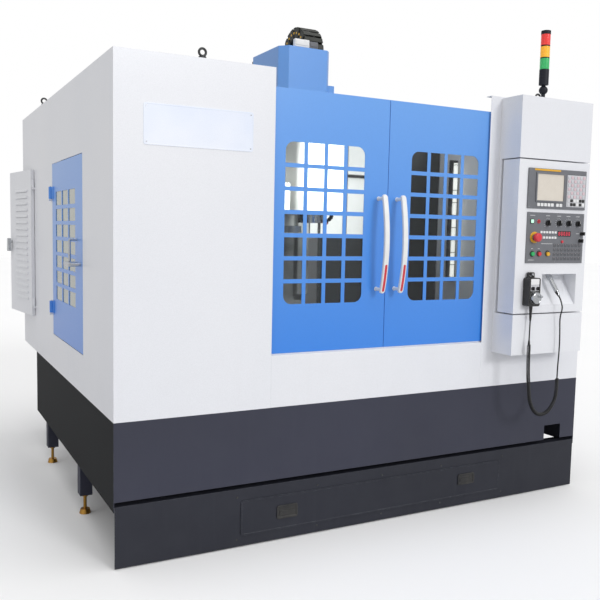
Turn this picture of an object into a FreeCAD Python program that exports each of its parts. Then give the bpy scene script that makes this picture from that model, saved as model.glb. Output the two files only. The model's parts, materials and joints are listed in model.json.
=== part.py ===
import FreeCAD, Part
import math
import os

# Vertical machining centre. Millimetres, +Z up, +X to the operator's right, +Y to the back.
# Pieces are drawn from the left wall plane (x = 0), the front sheet plane (y = 0) and the
# floor (z = 0). Every piece is then moved so that the origin is the middle of the footprint.

V = FreeCAD.Vector
UP = V(0, 0, 1)
ACROSS = V(1, 0, 0)
BACK = V(0, 1, 0)

# Overall sizes
machine_width = 2600
enclosure_top = 2100
enclosure_base = 617
enclosure_depth = 1900
skirt_overhang = 40
cabinet_depth = 540
skin = 3
flange = 40
running_gap = 0.3
pin_gap = 0.05

# Front: fixed panel, two sliding doors, sill
left_panel_width = 700
right_panel_width = 700
door_plane = 12
door_thickness = 30
door_overlap = 20
door_gap = 1.5
door_bottom = 858
door_top = 2022
sill_top = 852
sill_ledge = 80
window_side = 58
window_width = 410
window_bottom = 1078
window_height = 717
window_corner = 40
grid_columns = 4
grid_rows = 7
grid_bar = 19
glass = 6
glass_lap = 18

# Door handles: bowed bars on two posts
handle_offset = 52
handle_bottom = 1121
handle_length = 460
handle_stand = 58
handle_bow = 30
handle_width = 26
handle_bar = 16
handle_post_radius = 8

# Top rail that carries the doors
rail_clearance = 4
rail_depth = 30
rail_bottom = 1960
rail_height = 40
hanger_width = 80
hanger_wrap = 6

# Side door in the left wall
side_door_front = 570
side_door_back = 1345
side_door_bottom = 805
side_door_top = 1740
side_door_thickness = 25
side_window_front = 735
side_window_back = 1240
side_window_bottom = 1010
side_window_top = 1585
hinge_radius = 9
hinge_pin_radius = 5
hinge_length = 70
latch_from_edge = 45
latch_height = 1227
latch_shaft_radius = 9
latch_stand = 50
latch_length = 110

# Electrical cabinet behind the left wall
cabinet_width = 600
cabinet_door_front = 1962
cabinet_door_bottom = 840
cabinet_door_top = 1745
cabinet_door_thickness = 20
cabinet_door_ajar = 7.5
cabinet_frame = 30
louvre_count = 18
louvre_height = 12
louvre_width = 265

# Black skirt and feet
skirt_front_bottom = 285
skirt_side_bottom = 242
notch_from_right = 226
notch_width = 120
notch_height = 80
leg_tube = 60
leg_bottom = 95
leg_places = [700, 1600]
foot_radius = 28
foot_height = 22
foot_screw_radius = 8

# Coolant tank
tank_panel_top = 266
tank_panel_side = 4
tank_panel_bottom = 4
tank_panel_lip = 75
tank_inset = 300
tank_bottom = 12
tank_top = 230
tank_wall = 4

# Bed, column and their ways
bed_front = 420
bed_bottom = 60
bed_width = 700
bed_top = 620
bed_rear_width = 900
bed_rear_top = 700
bed_core_width = 240
bed_core_rows = 5
bed_rib = 35
bed_end_wall = 40
column_front = 1300
column_back = 1850
column_width = 500
way_width = 80
way_spread = 420
way_height = 60
column_way_depth = 50
bed_foot_radius = 60
bed_foot_height = 25

# Saddle, table and spindle head
spindle_y = 780
saddle_length = 900
saddle_depth = 500
saddle_height = 100
x_way_height = 50
apron_drop = 30
table_length = 1000
table_width = 500
table_thickness = 90
slot_count = 5
slot_pitch = 90
slot_neck = 18
slot_head = 30
slot_depth = 32
head_width = 300
head_front = 620
head_bottom = 1500
column_top = head_bottom + 750
head_height = 500
spindle_radius = 60
spindle_nose = 50
nose_radius = 75
taper_mouth_radius = 22
taper_depth = 70
motor_side = 230
motor_y = 1060
motor_height = 360

# Head cover and the cable chain on it
cover_width = 310
cover_front = 860
cover_height = 427
cover_chamfer = 45
cover_step = 45
cover_step_height = 240
cover_skin = 4
chain_offset = 5
chain_width = 120
chain_front = 885
chain_radius = 148
chain_depth = 42

# Tool magazine and change arm
disc_y = 930
disc_rise = 280
disc_offset = 420
disc_thickness = 40
disc_radius = 290
pot_count = 24
pot_circle = 295
pot_radius = 33
pot_length = 100
bracket_thickness = 60
arm_offset = 220
arm_reach = arm_offset
arm_width = 60
arm_thickness = 35
arm_drop = 70
arm_shaft_radius = 30

# Control pod
pod_from_right = 632
pod_width = 486
pod_front = -145
pod_bottom = 800
pod_top = 2092
box_bottom = 1012
box_top = 1783
pod_gap = 6
pod_spine = 16
box_back = -31
swivel_inset = 25
swivel_radius = 12
box_wall = 3
display_from_pod = 58
display_bottom = 1542
display_width = 400
display_height = 200
display_proud = 7
panel_from_pod = 63
panel_bottom = 1267
panel_width = 396
panel_height = 256
panel_thickness = 4
panel_margin = 4
pocket_from_pod = 187
pocket_width = 240
pocket_bottom = 1052
pocket_height = 158
pocket_depth = 85

# Operator controls: places measured from the panel's lower left corner
button_radius = 10
button_places = {"button_start": (42, 47), "button_stop": (88, 47), "button_reset": (146, 47)}
estop_place = (52, 130)
estop_radius = 22
estop_stem = 11
estop_collar = 16
knob_places = [(139, 204), (217, 204), (283, 204), (350, 204)]
knob_radius = 14
knob_height = 20
knob_shaft = 3
selector_places = [(381, 153), (371, 116)]
selector_radius = 9

# Handwheel pendant
pendant_from_pod = 96
pendant_width = 76
pendant_bottom = 1052
pendant_height = 143
pendant_back = -147
pendant_depth = 43
pendant_corner = 10
loop_height = 27
wheel_z = 1095
wheel_radius = 29
wheel_depth = 20
dial_z = 1142
dial_spread = 34
dial_radius = 9

# Cord: thin leads and a curly middle
lead_diameter = 7
curl_diameter = 20

# Signal tower
tower_from_pod = 204
tower_y = -72
tower_radius = 24
tower_lenses = [2245, 2304, 2364]
tower_lens_height = 54
tower_cap_top = 2436

# Lifting eyes
eye_inset = 372
eye_radius = 15
eye_wire = 5
eye_collar_radius = 16
eye_collar_height = 8

# Levels worked out from the sizes above
opening_left = left_panel_width
opening_right = machine_width - right_panel_width
meeting_line = (opening_left + opening_right) / 2
spindle_x = meeting_line
skirt_depth = enclosure_depth + skirt_overhang
rail_front = door_plane + door_thickness + rail_clearance
notch_left = machine_width - notch_from_right
tank_left = tank_inset
tank_right = machine_width - tank_inset
head_top = head_bottom + head_height
cover_top = head_top + cover_height
cover_step_top = head_top + cover_step_height
disc_z = head_bottom + disc_rise
disc_left = spindle_x - disc_offset
arm_x = spindle_x - arm_offset
arm_top = head_bottom - arm_drop
chain_left = spindle_x + chain_offset
pod_left = machine_width - pod_from_right
display_left = pod_left + display_from_pod
panel_left = pod_left + panel_from_pod
pocket_left = pod_left + pocket_from_pod
pendant_x = pod_left + pendant_from_pod
tower_x = pod_left + tower_from_pod
cabinet_back = enclosure_depth + cabinet_depth
door_back = door_plane + door_thickness
way_top = bed_top + way_height
saddle_bottom = way_top + running_gap
saddle_top = saddle_bottom + saddle_height
table_bottom = saddle_top + x_way_height + running_gap
table_top = table_bottom + table_thickness
panel_face = pod_front - panel_thickness
bracket_left = disc_left + disc_thickness + pot_length - 35
wheel_front = pendant_back - pendant_depth - wheel_depth

# Footprint, which sets the origin
ajar = math.radians(cabinet_door_ajar)
handle_reach = 48
footprint_left = -(cabinet_back - cabinet_door_front) * math.sin(ajar) - handle_reach
origin_x = (footprint_left + machine_width) / 2
origin_y = (wheel_front + cabinet_back) / 2


def block(x0, x1, y0, y1, z0, z1):
    return Part.makeBox(x1 - x0, y1 - y0, z1 - z0, V(x0, y0, z0))


def rod(start, direction, radius, length):
    return Part.makeCylinder(radius, length, V(*start), direction)


def fuse(shapes):
    whole = shapes[0]
    for shape in shapes[1:]:
        whole = whole.fuse(shape)
    return whole.removeSplitter()


def group(shapes):
    return Part.makeCompound(shapes)


def prism(points, direction):
    corners = [V(*p) for p in points]
    wire = Part.makePolygon(corners + [corners[0]])
    return Part.Face(wire).extrude(direction)


def rounded(shape, radius, axis):
    edges = []
    for edge in shape.Edges:
        a = edge.Vertexes[0].Point
        b = edge.Vertexes[-1].Point
        run = b - a
        if run.Length > 1e-6 and abs(run.normalize().dot(axis)) > 0.999:
            edges.append(edge)
    return shape.makeFillet(radius, edges)


def save(name, shape):
    shape.translate(V(-origin_x, -origin_y, 0))
    shape.exportStep("parts/" + name + ".step")
    print(name, len(shape.Solids), round(shape.Volume / 1000), shape.isValid())


# Sheet-metal enclosure
def left_enclosure():
    top = enclosure_top
    low = enclosure_base
    back = enclosure_depth - running_gap
    front = block(0, left_panel_width, 0, skin, low, top)
    side = block(0, skin, 0, back, low, top)
    cap = block(0, left_panel_width, 0, flange, top - skin, top)
    side_cap = block(0, flange, 0, back, top - skin, top)
    foot = block(0, left_panel_width, 0, flange, low, low + skin)
    side_foot = block(0, flange, 0, back, low, low + skin)
    opening = block(-1, skin + 1, side_door_front, side_door_back, side_door_bottom, side_door_top)
    shell = fuse([front, side, cap, side_cap, foot, side_foot]).cut(opening)
    return fuse([shell] + side_door_hinge_pins())


def side_door_hinge_pins():
    pins = []
    for z in side_hinge_places():
        y = side_door_back + hinge_radius
        lug = block(-2 * hinge_radius, 0, y - hinge_radius, y + hinge_radius, z - 12, z)
        pins.append(lug)
        pins.append(rod((-hinge_radius, y, z), UP, hinge_pin_radius, hinge_length))
    return pins


def side_hinge_places():
    return [side_door_bottom + 120, side_door_top - 120 - hinge_length]


def right_enclosure():
    top = enclosure_top
    low = enclosure_base
    wide = machine_width
    front = block(opening_right, wide, 0, skin, low, top)
    side = block(wide - skin, wide, 0, enclosure_depth, low, top)
    cap = block(opening_right, wide, 0, flange, top - skin, top)
    side_cap = block(wide - flange, wide, 0, enclosure_depth, top - skin, top)
    foot = block(opening_right, wide, 0, flange, low, low + skin)
    side_foot = block(wide - flange, wide, 0, enclosure_depth, low, low + skin)
    return fuse([front, side, cap, side_cap, foot, side_foot])


def front_sill():
    face = block(opening_left, opening_right, 0, skin, enclosure_base, sill_top)
    inner_right = machine_width - skin
    ledge = block(skin, inner_right, skin, sill_ledge, sill_top - skin, sill_top)
    strip_top = door_bottom - running_gap
    strip = block(skin, inner_right, door_plane + 4, door_back - 4, sill_top, strip_top)
    lip = block(skin, inner_right, sill_ledge - skin, sill_ledge, sill_top - 60, sill_top)
    bridge = block(opening_left, opening_right, 0, skin + 1, sill_top - skin, sill_top)
    return fuse([face, ledge, strip, lip, bridge])


def rear_wall():
    back = enclosure_depth
    left = cabinet_width
    right = machine_width - skin
    wall = block(left, right, back - skin, back, enclosure_base + skin, enclosure_top - skin)
    cap = block(left, right - flange, back - flange, back, enclosure_top - skin, enclosure_top)
    foot = block(left, right - flange, back - flange, back, enclosure_base, enclosure_base + skin)
    return fuse([wall, cap, foot])


def chamber_lining():
    inner_right = machine_width - skin
    back = column_front
    floor_z = bed_top + 20
    wall_left = side_door_thickness + 15
    wall = block(wall_left, inner_right, back - skin, back, floor_z, enclosure_top - flange)
    pan = block(skin, inner_right, sill_ledge, back, floor_z, floor_z + skin)
    half = column_width / 2 + 90
    slot = block(spindle_x - half, spindle_x + half, back - 99, back + 1, floor_z - 1, enclosure_top)
    well_half = bed_width / 2 + 5
    well = block(spindle_x - well_half, spindle_x + well_half, bed_front - 5, back + 1, floor_z - 1, floor_z + 99)
    front_lip = block(skin, inner_right, sill_ledge, sill_ledge + skin, floor_z, sill_top - 60)
    return fuse([wall, pan, front_lip]).cut(slot).cut(well)


# Black skirt, legs and feet
def base_skirt():
    top = enclosure_base
    wide = machine_width
    front = block(0, wide, 0, skin, skirt_front_bottom, top)
    notch = block(notch_left, notch_left + notch_width, -1, skin + 1, 0, skirt_front_bottom + notch_height)
    left = block(0, skin, 0, skirt_depth, skirt_side_bottom, top)
    right = block(wide - skin, wide, 0, skirt_depth, skirt_side_bottom, top)
    rear = block(0, wide, skirt_depth - skin, skirt_depth, skirt_front_bottom, top)
    left_cap = block(0, flange * 2, 0, skirt_depth, top - skin, top)
    right_cap = block(wide - flange * 2, wide, 0, skirt_depth, top - skin, top)
    front_cap = block(0, wide, 0, flange, top - skin, top)
    rear_cap = block(0, wide, skirt_depth - flange, skirt_depth, top - skin, top)
    walls = fuse([front, left, right, rear, left_cap, right_cap, front_cap, rear_cap])
    return walls.cut(notch)


def support_legs():
    legs = []
    for x in (skin, machine_width - skin - leg_tube):
        for y in leg_places:
            low = y - leg_tube / 2
            outer = block(x, x + leg_tube, low, low + leg_tube, leg_bottom, enclosure_base - skin)
            wall = 4
            hollow = block(x + wall, x + leg_tube - wall, low + wall, low + leg_tube - wall, leg_bottom + 6, 9999)
            legs.append(outer.cut(hollow))
    return group(legs)


def levelling_feet():
    feet = []
    for x in (skin + leg_tube / 2, machine_width - skin - leg_tube / 2):
        for y in leg_places:
            pad = Part.makeCone(foot_radius, foot_radius - 6, foot_height, V(x, y, 0), UP)
            screw = rod((x, y, 0), UP, foot_screw_radius, leg_bottom)
            nut = rod((x, y, leg_bottom - 10), UP, foot_screw_radius * 1.8, 10)
            feet.append(fuse([pad, screw, nut]))
    for x in (spindle_x - bed_width / 2 + 70, spindle_x + bed_width / 2 - 70):
        for y in (bed_front + 90, (bed_front + column_back) / 2, column_back - 80):
            pad = rod((x, y, 0), UP, bed_foot_radius, bed_foot_height)
            screw = rod((x, y, 0), UP, bed_foot_radius / 3, bed_bottom)
            feet.append(fuse([pad, screw]))
    return group(feet)


def coolant_tank():
    right = machine_width - tank_panel_side
    panel = block(tank_panel_side, right, 0, skin, tank_panel_bottom, tank_panel_top)
    back = bed_front - 20
    outer = block(tank_left, tank_right, skin, back, tank_bottom, tank_top)
    w = tank_wall
    inner = block(tank_left + w, tank_right - w, skin + w, back - w, tank_bottom + w, tank_top + 1)
    lip = block(tank_panel_side, right, 0, tank_panel_lip, tank_panel_top - skin, tank_panel_top)
    parts = [panel, lip, outer.cut(inner)]
    for x in (spindle_x - 200, spindle_x + 200):
        parts.append(block(x - 20, x + 20, back - 1, bed_front - running_gap, 100, 140))
    for x in (tank_left + 60, tank_right - 110):
        parts.append(block(x, x + 50, skin + 40, back - 40, 1, tank_bottom))
    return fuse(parts)


# Castings
def ways(x_list, y0, y1, z0, z1):
    return [block(x, x + way_width, y0, y1, z0, z1) for x in x_list]


def way_lefts():
    half = way_spread / 2
    return [spindle_x - half - way_width / 2, spindle_x + half - way_width / 2]


def bed():
    half = bed_width / 2
    rear_half = bed_rear_width / 2
    front = block(spindle_x - half, spindle_x + half, bed_front, column_front, bed_bottom, bed_top)
    rear = block(spindle_x - rear_half, spindle_x + rear_half, column_front, column_back, bed_bottom, bed_rear_top)
    body = fuse([front, rear] + ways(way_lefts(), bed_front + 20, column_front, bed_top - 1, way_top))
    pitch = (column_back - bed_front - 2 * bed_end_wall + bed_rib) / bed_core_rows
    for row in range(bed_core_rows):
        y = bed_front + bed_end_wall + row * pitch
        for x in (spindle_x - bed_rib / 2 - bed_core_width, spindle_x + bed_rib / 2):
            body = body.cut(block(x, x + bed_core_width, y, y + pitch - bed_rib, bed_bottom - 1, bed_top - 90))
    return body


def column():
    half = column_width / 2
    body = block(spindle_x - half, spindle_x + half, column_front, column_back, bed_rear_top, column_top)
    guides = ways(way_lefts(), column_front - column_way_depth, column_front + 1, bed_rear_top + 300, column_top)
    core = block(spindle_x - half + 50, spindle_x + half - 50, column_front + 60, column_back + 1,
                 bed_rear_top + 200, column_top - 120)
    return fuse([body] + guides).cut(core)


def axis_motors():
    side = 130
    z_y = column_front + 110
    z_body = rounded(block(spindle_x - side / 2, spindle_x + side / 2, z_y - side / 2, z_y + side / 2,
                           column_top, column_top + 200), 14, UP)
    low = bed_top - 190
    y_body = rounded(block(spindle_x - side / 2, spindle_x + side / 2, bed_front - 180, bed_front,
                           low, low + side), 14, BACK)
    return group([z_body, y_body])


def saddle():
    half = saddle_length / 2
    front = spindle_y - saddle_depth / 2
    back = spindle_y + saddle_depth / 2
    plate = block(spindle_x - half, spindle_x + half, front, back, saddle_bottom, saddle_top)
    rails = []
    for y in (front + 50, back - 50 - way_width):
        rails.append(block(spindle_x - half, spindle_x + half, y, y + way_width, saddle_top - 1, saddle_top + x_way_height))
    aprons = []
    for x in (spindle_x - way_spread / 2 - way_width / 2 - 30 - running_gap,
              spindle_x + way_spread / 2 + way_width / 2 + running_gap):
        aprons.append(block(x, x + 30, front, back, saddle_bottom - apron_drop, saddle_bottom + 1))
    return fuse([plate] + rails + aprons)


def table():
    half = table_length / 2
    front = spindle_y - table_width / 2
    body = block(spindle_x - half, spindle_x + half, front, front + table_width, table_bottom, table_top)
    for i in range(slot_count):
        y = spindle_y + (i - (slot_count - 1) / 2) * slot_pitch
        neck = block(spindle_x - half - 1, spindle_x + half + 1, y - slot_neck / 2, y + slot_neck / 2,
                     table_top - slot_depth, table_top + 1)
        root = block(spindle_x - half - 1, spindle_x + half + 1, y - slot_head / 2, y + slot_head / 2,
                     table_top - slot_depth, table_top - slot_depth + 14)
        body = body.cut(neck).cut(root)
    return body


# Spindle head
def spindle_head():
    half = head_width / 2
    back = column_front - column_way_depth - running_gap
    body = block(spindle_x - half, spindle_x + half, head_front, back, head_bottom, head_top)
    body = rounded_front(body)
    wing = way_spread / 2 + way_width / 2
    wings = block(spindle_x - wing + 110, spindle_x + wing, back - 70, back, head_bottom + 60, head_top - 20)
    bore = rod((spindle_x, spindle_y, head_bottom - 1), UP, spindle_radius + pin_gap, head_top - head_bottom - 100)
    return fuse([body, wings]).cut(bore)


def rounded_front(body):
    edges = []
    for edge in body.Edges:
        a = edge.Vertexes[0].Point
        b = edge.Vertexes[-1].Point
        if abs(a.y - head_front) < 1 and abs(b.y - head_front) < 1 and abs(a.x - b.x) < 1:
            edges.append(edge)
    return body.makeFillet(60, edges)


def spindle():
    foot = head_bottom - spindle_nose
    nose = rod((spindle_x, spindle_y, foot), UP, nose_radius, spindle_nose - running_gap)
    shaft = rod((spindle_x, spindle_y, foot), UP, spindle_radius, head_top - head_bottom - 110 + spindle_nose)
    taper = Part.makeCone(taper_mouth_radius, taper_mouth_radius / 1.8, taper_depth, V(spindle_x, spindle_y, foot), UP)
    return fuse([nose, shaft]).cut(taper)


def spindle_motor():
    half = motor_side / 2
    body = rounded(block(spindle_x - half, spindle_x + half, motor_y - half, motor_y + half,
                         head_top, head_top + motor_height), 30, UP)
    return body


def head_cover():
    left = spindle_x - cover_width / 2
    right = spindle_x + cover_width / 2
    back = column_front - column_way_depth - running_gap
    c = cover_chamfer
    outline = [(left, back, 0), (left, cover_front + c, 0), (left + c, cover_front, 0),
               (right - c / 2, cover_front, 0), (right, cover_front + c / 2, 0), (right, back, 0)]
    upper = prism([(x, y, head_top) for x, y, _ in outline], V(0, 0, cover_top - head_top))
    s = cover_skin
    inner = [(left + s, back - s, 0), (left + s, cover_front + c, 0), (left + c, cover_front + s, 0),
             (right - c / 2, cover_front + s, 0), (right - s, cover_front + c / 2, 0), (right - s, back - s, 0)]
    hollow = prism([(x, y, head_top - 1) for x, y, _ in inner], V(0, 0, cover_top - head_top - s + 1))
    step = block(right, right + cover_step, cover_front + 30, back, head_top, cover_step_top)
    step_hollow = block(right + s, right + cover_step - s, cover_front + 30 + s, back - s,
                        head_top - 1, cover_step_top - s)
    return fuse([upper.cut(hollow), step.cut(step_hollow)])


def cable_chain():
    y = chain_front + chain_radius
    start = V(chain_left, y, cover_top)
    outer = Part.makeCylinder(chain_radius, chain_width, start, ACROSS)
    inner = Part.makeCylinder(chain_radius - chain_depth, chain_width, start, ACROSS)
    below = block(chain_left - 1, chain_left + chain_width + 1, y - 999, y + 999, cover_top - 999, cover_top)
    return outer.cut(inner).cut(below)


# Tool magazine
def magazine_frame():
    right = spindle_x - column_width / 2
    left = bracket_left
    plate = block(left, right, disc_y - 60, column_front + 200, disc_z - 130, disc_z + 70)
    hub = rod((left, disc_y, disc_z), -ACROSS, 30, left - disc_left)
    cam_right = spindle_x - cover_width / 2 - 20
    cam = block(left + 20, cam_right, spindle_y - 90, disc_y + 70, head_bottom, disc_z - 120)
    socket = rod((arm_x, spindle_y, head_bottom - 1), UP, arm_shaft_radius + pin_gap, 101)
    return fuse([plate, hub, cam]).cut(socket)


def magazine_disc():
    disc = rod((disc_left, disc_y, disc_z), ACROSS, disc_radius, disc_thickness)
    pots = []
    for i in range(pot_count):
        a = 2 * math.pi * i / pot_count
        y = disc_y + pot_circle * math.cos(a)
        z = disc_z + pot_circle * math.sin(a)
        pots.append(rod((disc_left - pot_length + disc_thickness, y, z), ACROSS, pot_radius, pot_length))
    bore = rod((disc_left - 200, disc_y, disc_z), ACROSS, 30 + pin_gap, 400)
    return fuse([disc] + pots).cut(bore)


def tool_arm():
    low = arm_top - arm_thickness
    bar = block(arm_x - arm_width / 2, arm_x + arm_width / 2, spindle_y - arm_reach, spindle_y + arm_reach, low, arm_top)
    ends = []
    for y in (spindle_y - arm_reach, spindle_y + arm_reach):
        pad = rod((arm_x, y, low), UP, 45, arm_thickness)
        mouth = rod((arm_x, y, low - 1), UP, 27, arm_thickness + 2)
        slot = block(arm_x - 99, arm_x, y - 22, y + 22, low - 1, arm_top + 1)
        ends.append((pad, mouth, slot))
    arm = fuse([bar] + [e[0] for e in ends])
    for _, mouth, slot in ends:
        arm = arm.cut(mouth).cut(slot)
    shaft = rod((arm_x, spindle_y, arm_top - 1), UP, arm_shaft_radius, head_bottom + 90 - arm_top)
    return fuse([arm, shaft])


# Sliding doors
def door_leaf(left, right, window_left, hangers):
    leaf = block(left, right, door_plane, door_back, door_bottom, door_top)
    hollow = block(left + skin, right - skin, door_plane + skin, door_back + 1, door_bottom + skin, door_top - skin)
    leaf = leaf.cut(hollow)
    opening = rounded(block(window_left, window_left + window_width, door_plane - 1, door_plane + skin + 1,
                            window_bottom, window_bottom + window_height), window_corner, BACK)
    bars = []
    for i in range(1, grid_columns):
        x = window_left + window_width * i / grid_columns
        bars.append(block(x - grid_bar / 2, x + grid_bar / 2, door_plane, door_plane + skin,
                          window_bottom - 1, window_bottom + window_height + 1))
    for i in range(1, grid_rows):
        z = window_bottom + window_height * i / grid_rows
        bars.append(block(window_left - 1, window_left + window_width + 1, door_plane, door_plane + skin,
                          z - grid_bar / 2, z + grid_bar / 2))
    holders = []
    rail_top = rail_bottom + rail_height + running_gap
    rail_back = rail_front + rail_depth + running_gap
    for x in hangers:
        holders.append(block(x - hanger_width / 2, x + hanger_width / 2, door_back - 6, rail_back + hanger_wrap,
                             rail_top, door_top))
        holders.append(block(x - hanger_width / 2, x + hanger_width / 2, rail_back, rail_back + hanger_wrap,
                             rail_bottom + 10, rail_top + 1))
    return fuse([leaf.cut(opening)] + bars + holders)


def left_leaf_edges():
    return opening_left - door_overlap, meeting_line - door_gap


def right_leaf_edges():
    return meeting_line + door_gap, opening_right + door_overlap


def left_window_left():
    return opening_left + window_side


def right_window_left():
    return opening_right - window_side - window_width


def left_door():
    left, right = left_leaf_edges()
    return door_leaf(left, right, left_window_left(), [left + 110, right - 110])


def right_door():
    left, right = right_leaf_edges()
    return door_leaf(left, right, right_window_left(), [left + 110, right - 110])


def window_pane(window_left):
    y = door_plane + skin
    return block(window_left - glass_lap, window_left + window_width + glass_lap, y, y + glass,
                 window_bottom - glass_lap, window_bottom + window_height + glass_lap)


def door_handle(x):
    top = handle_bottom + handle_length
    end_y = door_plane - handle_stand
    mid_y = end_y - handle_bow
    middle = (handle_bottom + top) / 2
    front = Part.Arc(V(x, end_y, handle_bottom), V(x, mid_y, middle), V(x, end_y, top)).toShape()
    back = Part.Arc(V(x, end_y + handle_bar, top), V(x, mid_y + handle_bar, middle),
                    V(x, end_y + handle_bar, handle_bottom)).toShape()
    cap = Part.LineSegment(V(x, end_y, top), V(x, end_y + handle_bar, top)).toShape()
    foot = Part.LineSegment(V(x, end_y + handle_bar, handle_bottom), V(x, end_y, handle_bottom)).toShape()
    face = Part.Face(Part.Wire([front, cap, back, foot]))
    bar = face.extrude(V(handle_width, 0, 0))
    bar.translate(V(-handle_width / 2, 0, 0))
    posts = []
    for z in (handle_bottom + 18, top - 18):
        posts.append(rod((x, end_y + 6, z), BACK, handle_post_radius, door_plane - end_y - 6))
    return fuse([bar] + posts)


def door_rail():
    rail = block(skin, machine_width - skin, rail_front, rail_front + rail_depth, rail_bottom, rail_bottom + rail_height)
    groove = block(skin, machine_width - skin, rail_front - 1, rail_front + 8, rail_bottom + 10, rail_bottom + 30)
    return rail.cut(groove)


# Side door
def side_door():
    g = 3
    leaf = block(0, side_door_thickness, side_door_front + g, side_door_back - g, side_door_bottom + g, side_door_top - g)
    hollow = block(skin, side_door_thickness + 1, side_door_front + g + skin, side_door_back - g - skin,
                   side_door_bottom + g + skin, side_door_top - g - skin)
    opening = block(-1, skin + 1, side_window_front, side_window_back, side_window_bottom, side_window_top)
    parts = [leaf.cut(hollow).cut(opening)]
    for i in (1, 2):
        y = side_window_front + (side_window_back - side_window_front) * i / 3
        parts.append(block(0, skin, y - grid_bar / 2, y + grid_bar / 2, side_window_bottom - 1, side_window_top + 1))
    for i in range(1, grid_rows):
        z = side_window_bottom + (side_window_top - side_window_bottom) * i / grid_rows
        parts.append(block(0, skin, side_window_front - 1, side_window_back + 1, z - grid_bar / 2, z + grid_bar / 2))
    for z in side_hinge_places():
        parts.append(side_door_knuckle(z))
    bore = rod((-1, side_door_front + latch_from_edge, latch_height), ACROSS, latch_shaft_radius + running_gap, 20)
    door = fuse(parts).cut(bore)
    for z in side_hinge_places():
        door = door.cut(rod((-hinge_radius, side_door_back + hinge_radius, z - 1), UP, hinge_pin_radius + pin_gap, 99))
    return group([door, side_pull()])


def side_door_knuckle(z):
    y = side_door_back + hinge_radius
    low = z + running_gap
    sleeve = rod((-hinge_radius, y, low), UP, hinge_radius, hinge_length - 5)
    leaf_y = side_door_back - 40
    strap = block(-4, 0, leaf_y, side_door_back - 1, low, low + hinge_length - 5)
    bridge = block(-hinge_radius, -1, y - hinge_radius - 2, y - hinge_pin_radius - 1, low, low + hinge_length - 5)
    return fuse([sleeve, strap, bridge])


def side_pull():
    y = side_door_front + 120
    low = latch_height + 5
    high = low + 110
    grip = rod((-36, y, low), UP, 6, high - low)
    feet = [rod((-36, y, z), ACROSS, 6, 36) for z in (low, high)]
    return fuse([grip] + feet)


def side_latch():
    y = side_door_front + latch_from_edge
    shaft = rod((-latch_stand, y, latch_height), ACROSS, latch_shaft_radius, latch_stand + 18)
    lever = block(-latch_stand - 8, -latch_stand + 4, y - 12, y + latch_length, latch_height - 10, latch_height + 10)
    cam = block(side_door_thickness - 12, side_door_thickness - 7, y - 15, y + 15, latch_height - 12, latch_height + 40)
    return fuse([shaft, rounded(lever, 5, ACROSS), cam])


def side_window():
    lap = glass_lap - 8
    return block(skin, skin + glass, side_window_front - lap, side_window_back + lap,
                 side_window_bottom - lap, side_window_top + lap)


# Electrical cabinet
def electrical_cabinet():
    front = enclosure_depth
    outer = block(0, cabinet_width, front, cabinet_back, enclosure_base, enclosure_top)
    inner = block(skin, cabinet_width - skin, front + skin, cabinet_back - skin,
                  enclosure_base + skin, enclosure_top - skin)
    f = cabinet_frame
    mouth = block(-1, skin + 1, cabinet_door_front + f, cabinet_back - f, cabinet_door_bottom + f, cabinet_door_top - f)
    plate = block(cabinet_width - 60, cabinet_width - 54, front + skin, cabinet_back - skin, 700, 2000)
    parts = [outer.cut(inner).cut(mouth), plate]
    x, y = cabinet_hinge_axis()
    for z in cabinet_hinge_places():
        parts.append(block(x - 5, 0, y - 14, y + 5, z - 12, z))
        parts.append(rod((x, y, z), UP, 4, 50))
    return fuse(parts)


def cabinet_hinge_axis():
    return -11, cabinet_door_front - 9


def cabinet_hinge_places():
    return [cabinet_door_bottom + 60, cabinet_door_top - 110]


def swing(shape):
    x, y = cabinet_hinge_axis()
    shape.rotate(V(x, y, 0), UP, cabinet_door_ajar)
    return shape


def cabinet_door():
    t = cabinet_door_thickness
    leaf = block(-t - 1, -1, cabinet_door_front, cabinet_back, cabinet_door_bottom, cabinet_door_top)
    hollow = block(-t - 1 + skin, 1, cabinet_door_front + skin, cabinet_back - skin,
                   cabinet_door_bottom + skin, cabinet_door_top - skin)
    leaf = leaf.cut(hollow)
    first_z = cabinet_door_bottom + 95
    pitch = (cabinet_door_top - cabinet_door_bottom - 190) / louvre_count
    first_y = cabinet_door_front + 78
    for i in range(louvre_count):
        z = first_z + i * pitch
        leaf = leaf.cut(block(-t - 2, -t + skin, first_y, first_y + louvre_width, z, z + louvre_height))
    x, y = cabinet_hinge_axis()
    parts = [leaf]
    for z in cabinet_hinge_places():
        low = z + running_gap
        parts.append(fuse([rod((x, y, low), UP, 8, 45), block(x - 4, x + 4, y + 4, cabinet_door_front + 1, low, low + 45)]))
    door = fuse(parts)
    for z in cabinet_hinge_places():
        door = door.cut(rod((x, y, z - 1), UP, 4 + pin_gap, 99))
    hole_y, hole_z = cabinet_handle_place()
    door = door.cut(rod((-t - 5, hole_y, hole_z), ACROSS, 8 + running_gap, 30))
    return swing(door)


def cabinet_handle_place():
    return cabinet_back - 40, (cabinet_door_bottom + cabinet_door_top) / 2


def cabinet_handle():
    y, z = cabinet_handle_place()
    t = cabinet_door_thickness
    stem = rod((-t - 20, y, z), ACROSS, 8, 34)
    outline = [(-t - 32, y - 12, z + 22), (-t - 32, y + 12, z + 22), (-t - 32, y + 20, z - 62), (-t - 32, y - 20, z - 62)]
    grip = prism(outline, V(20, 0, 0))
    return swing(fuse([stem, grip]))


# Control pod
def pod_right():
    return pod_left + pod_width


def swivel_axis():
    return pod_right() - swivel_inset, box_back - swivel_inset


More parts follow.
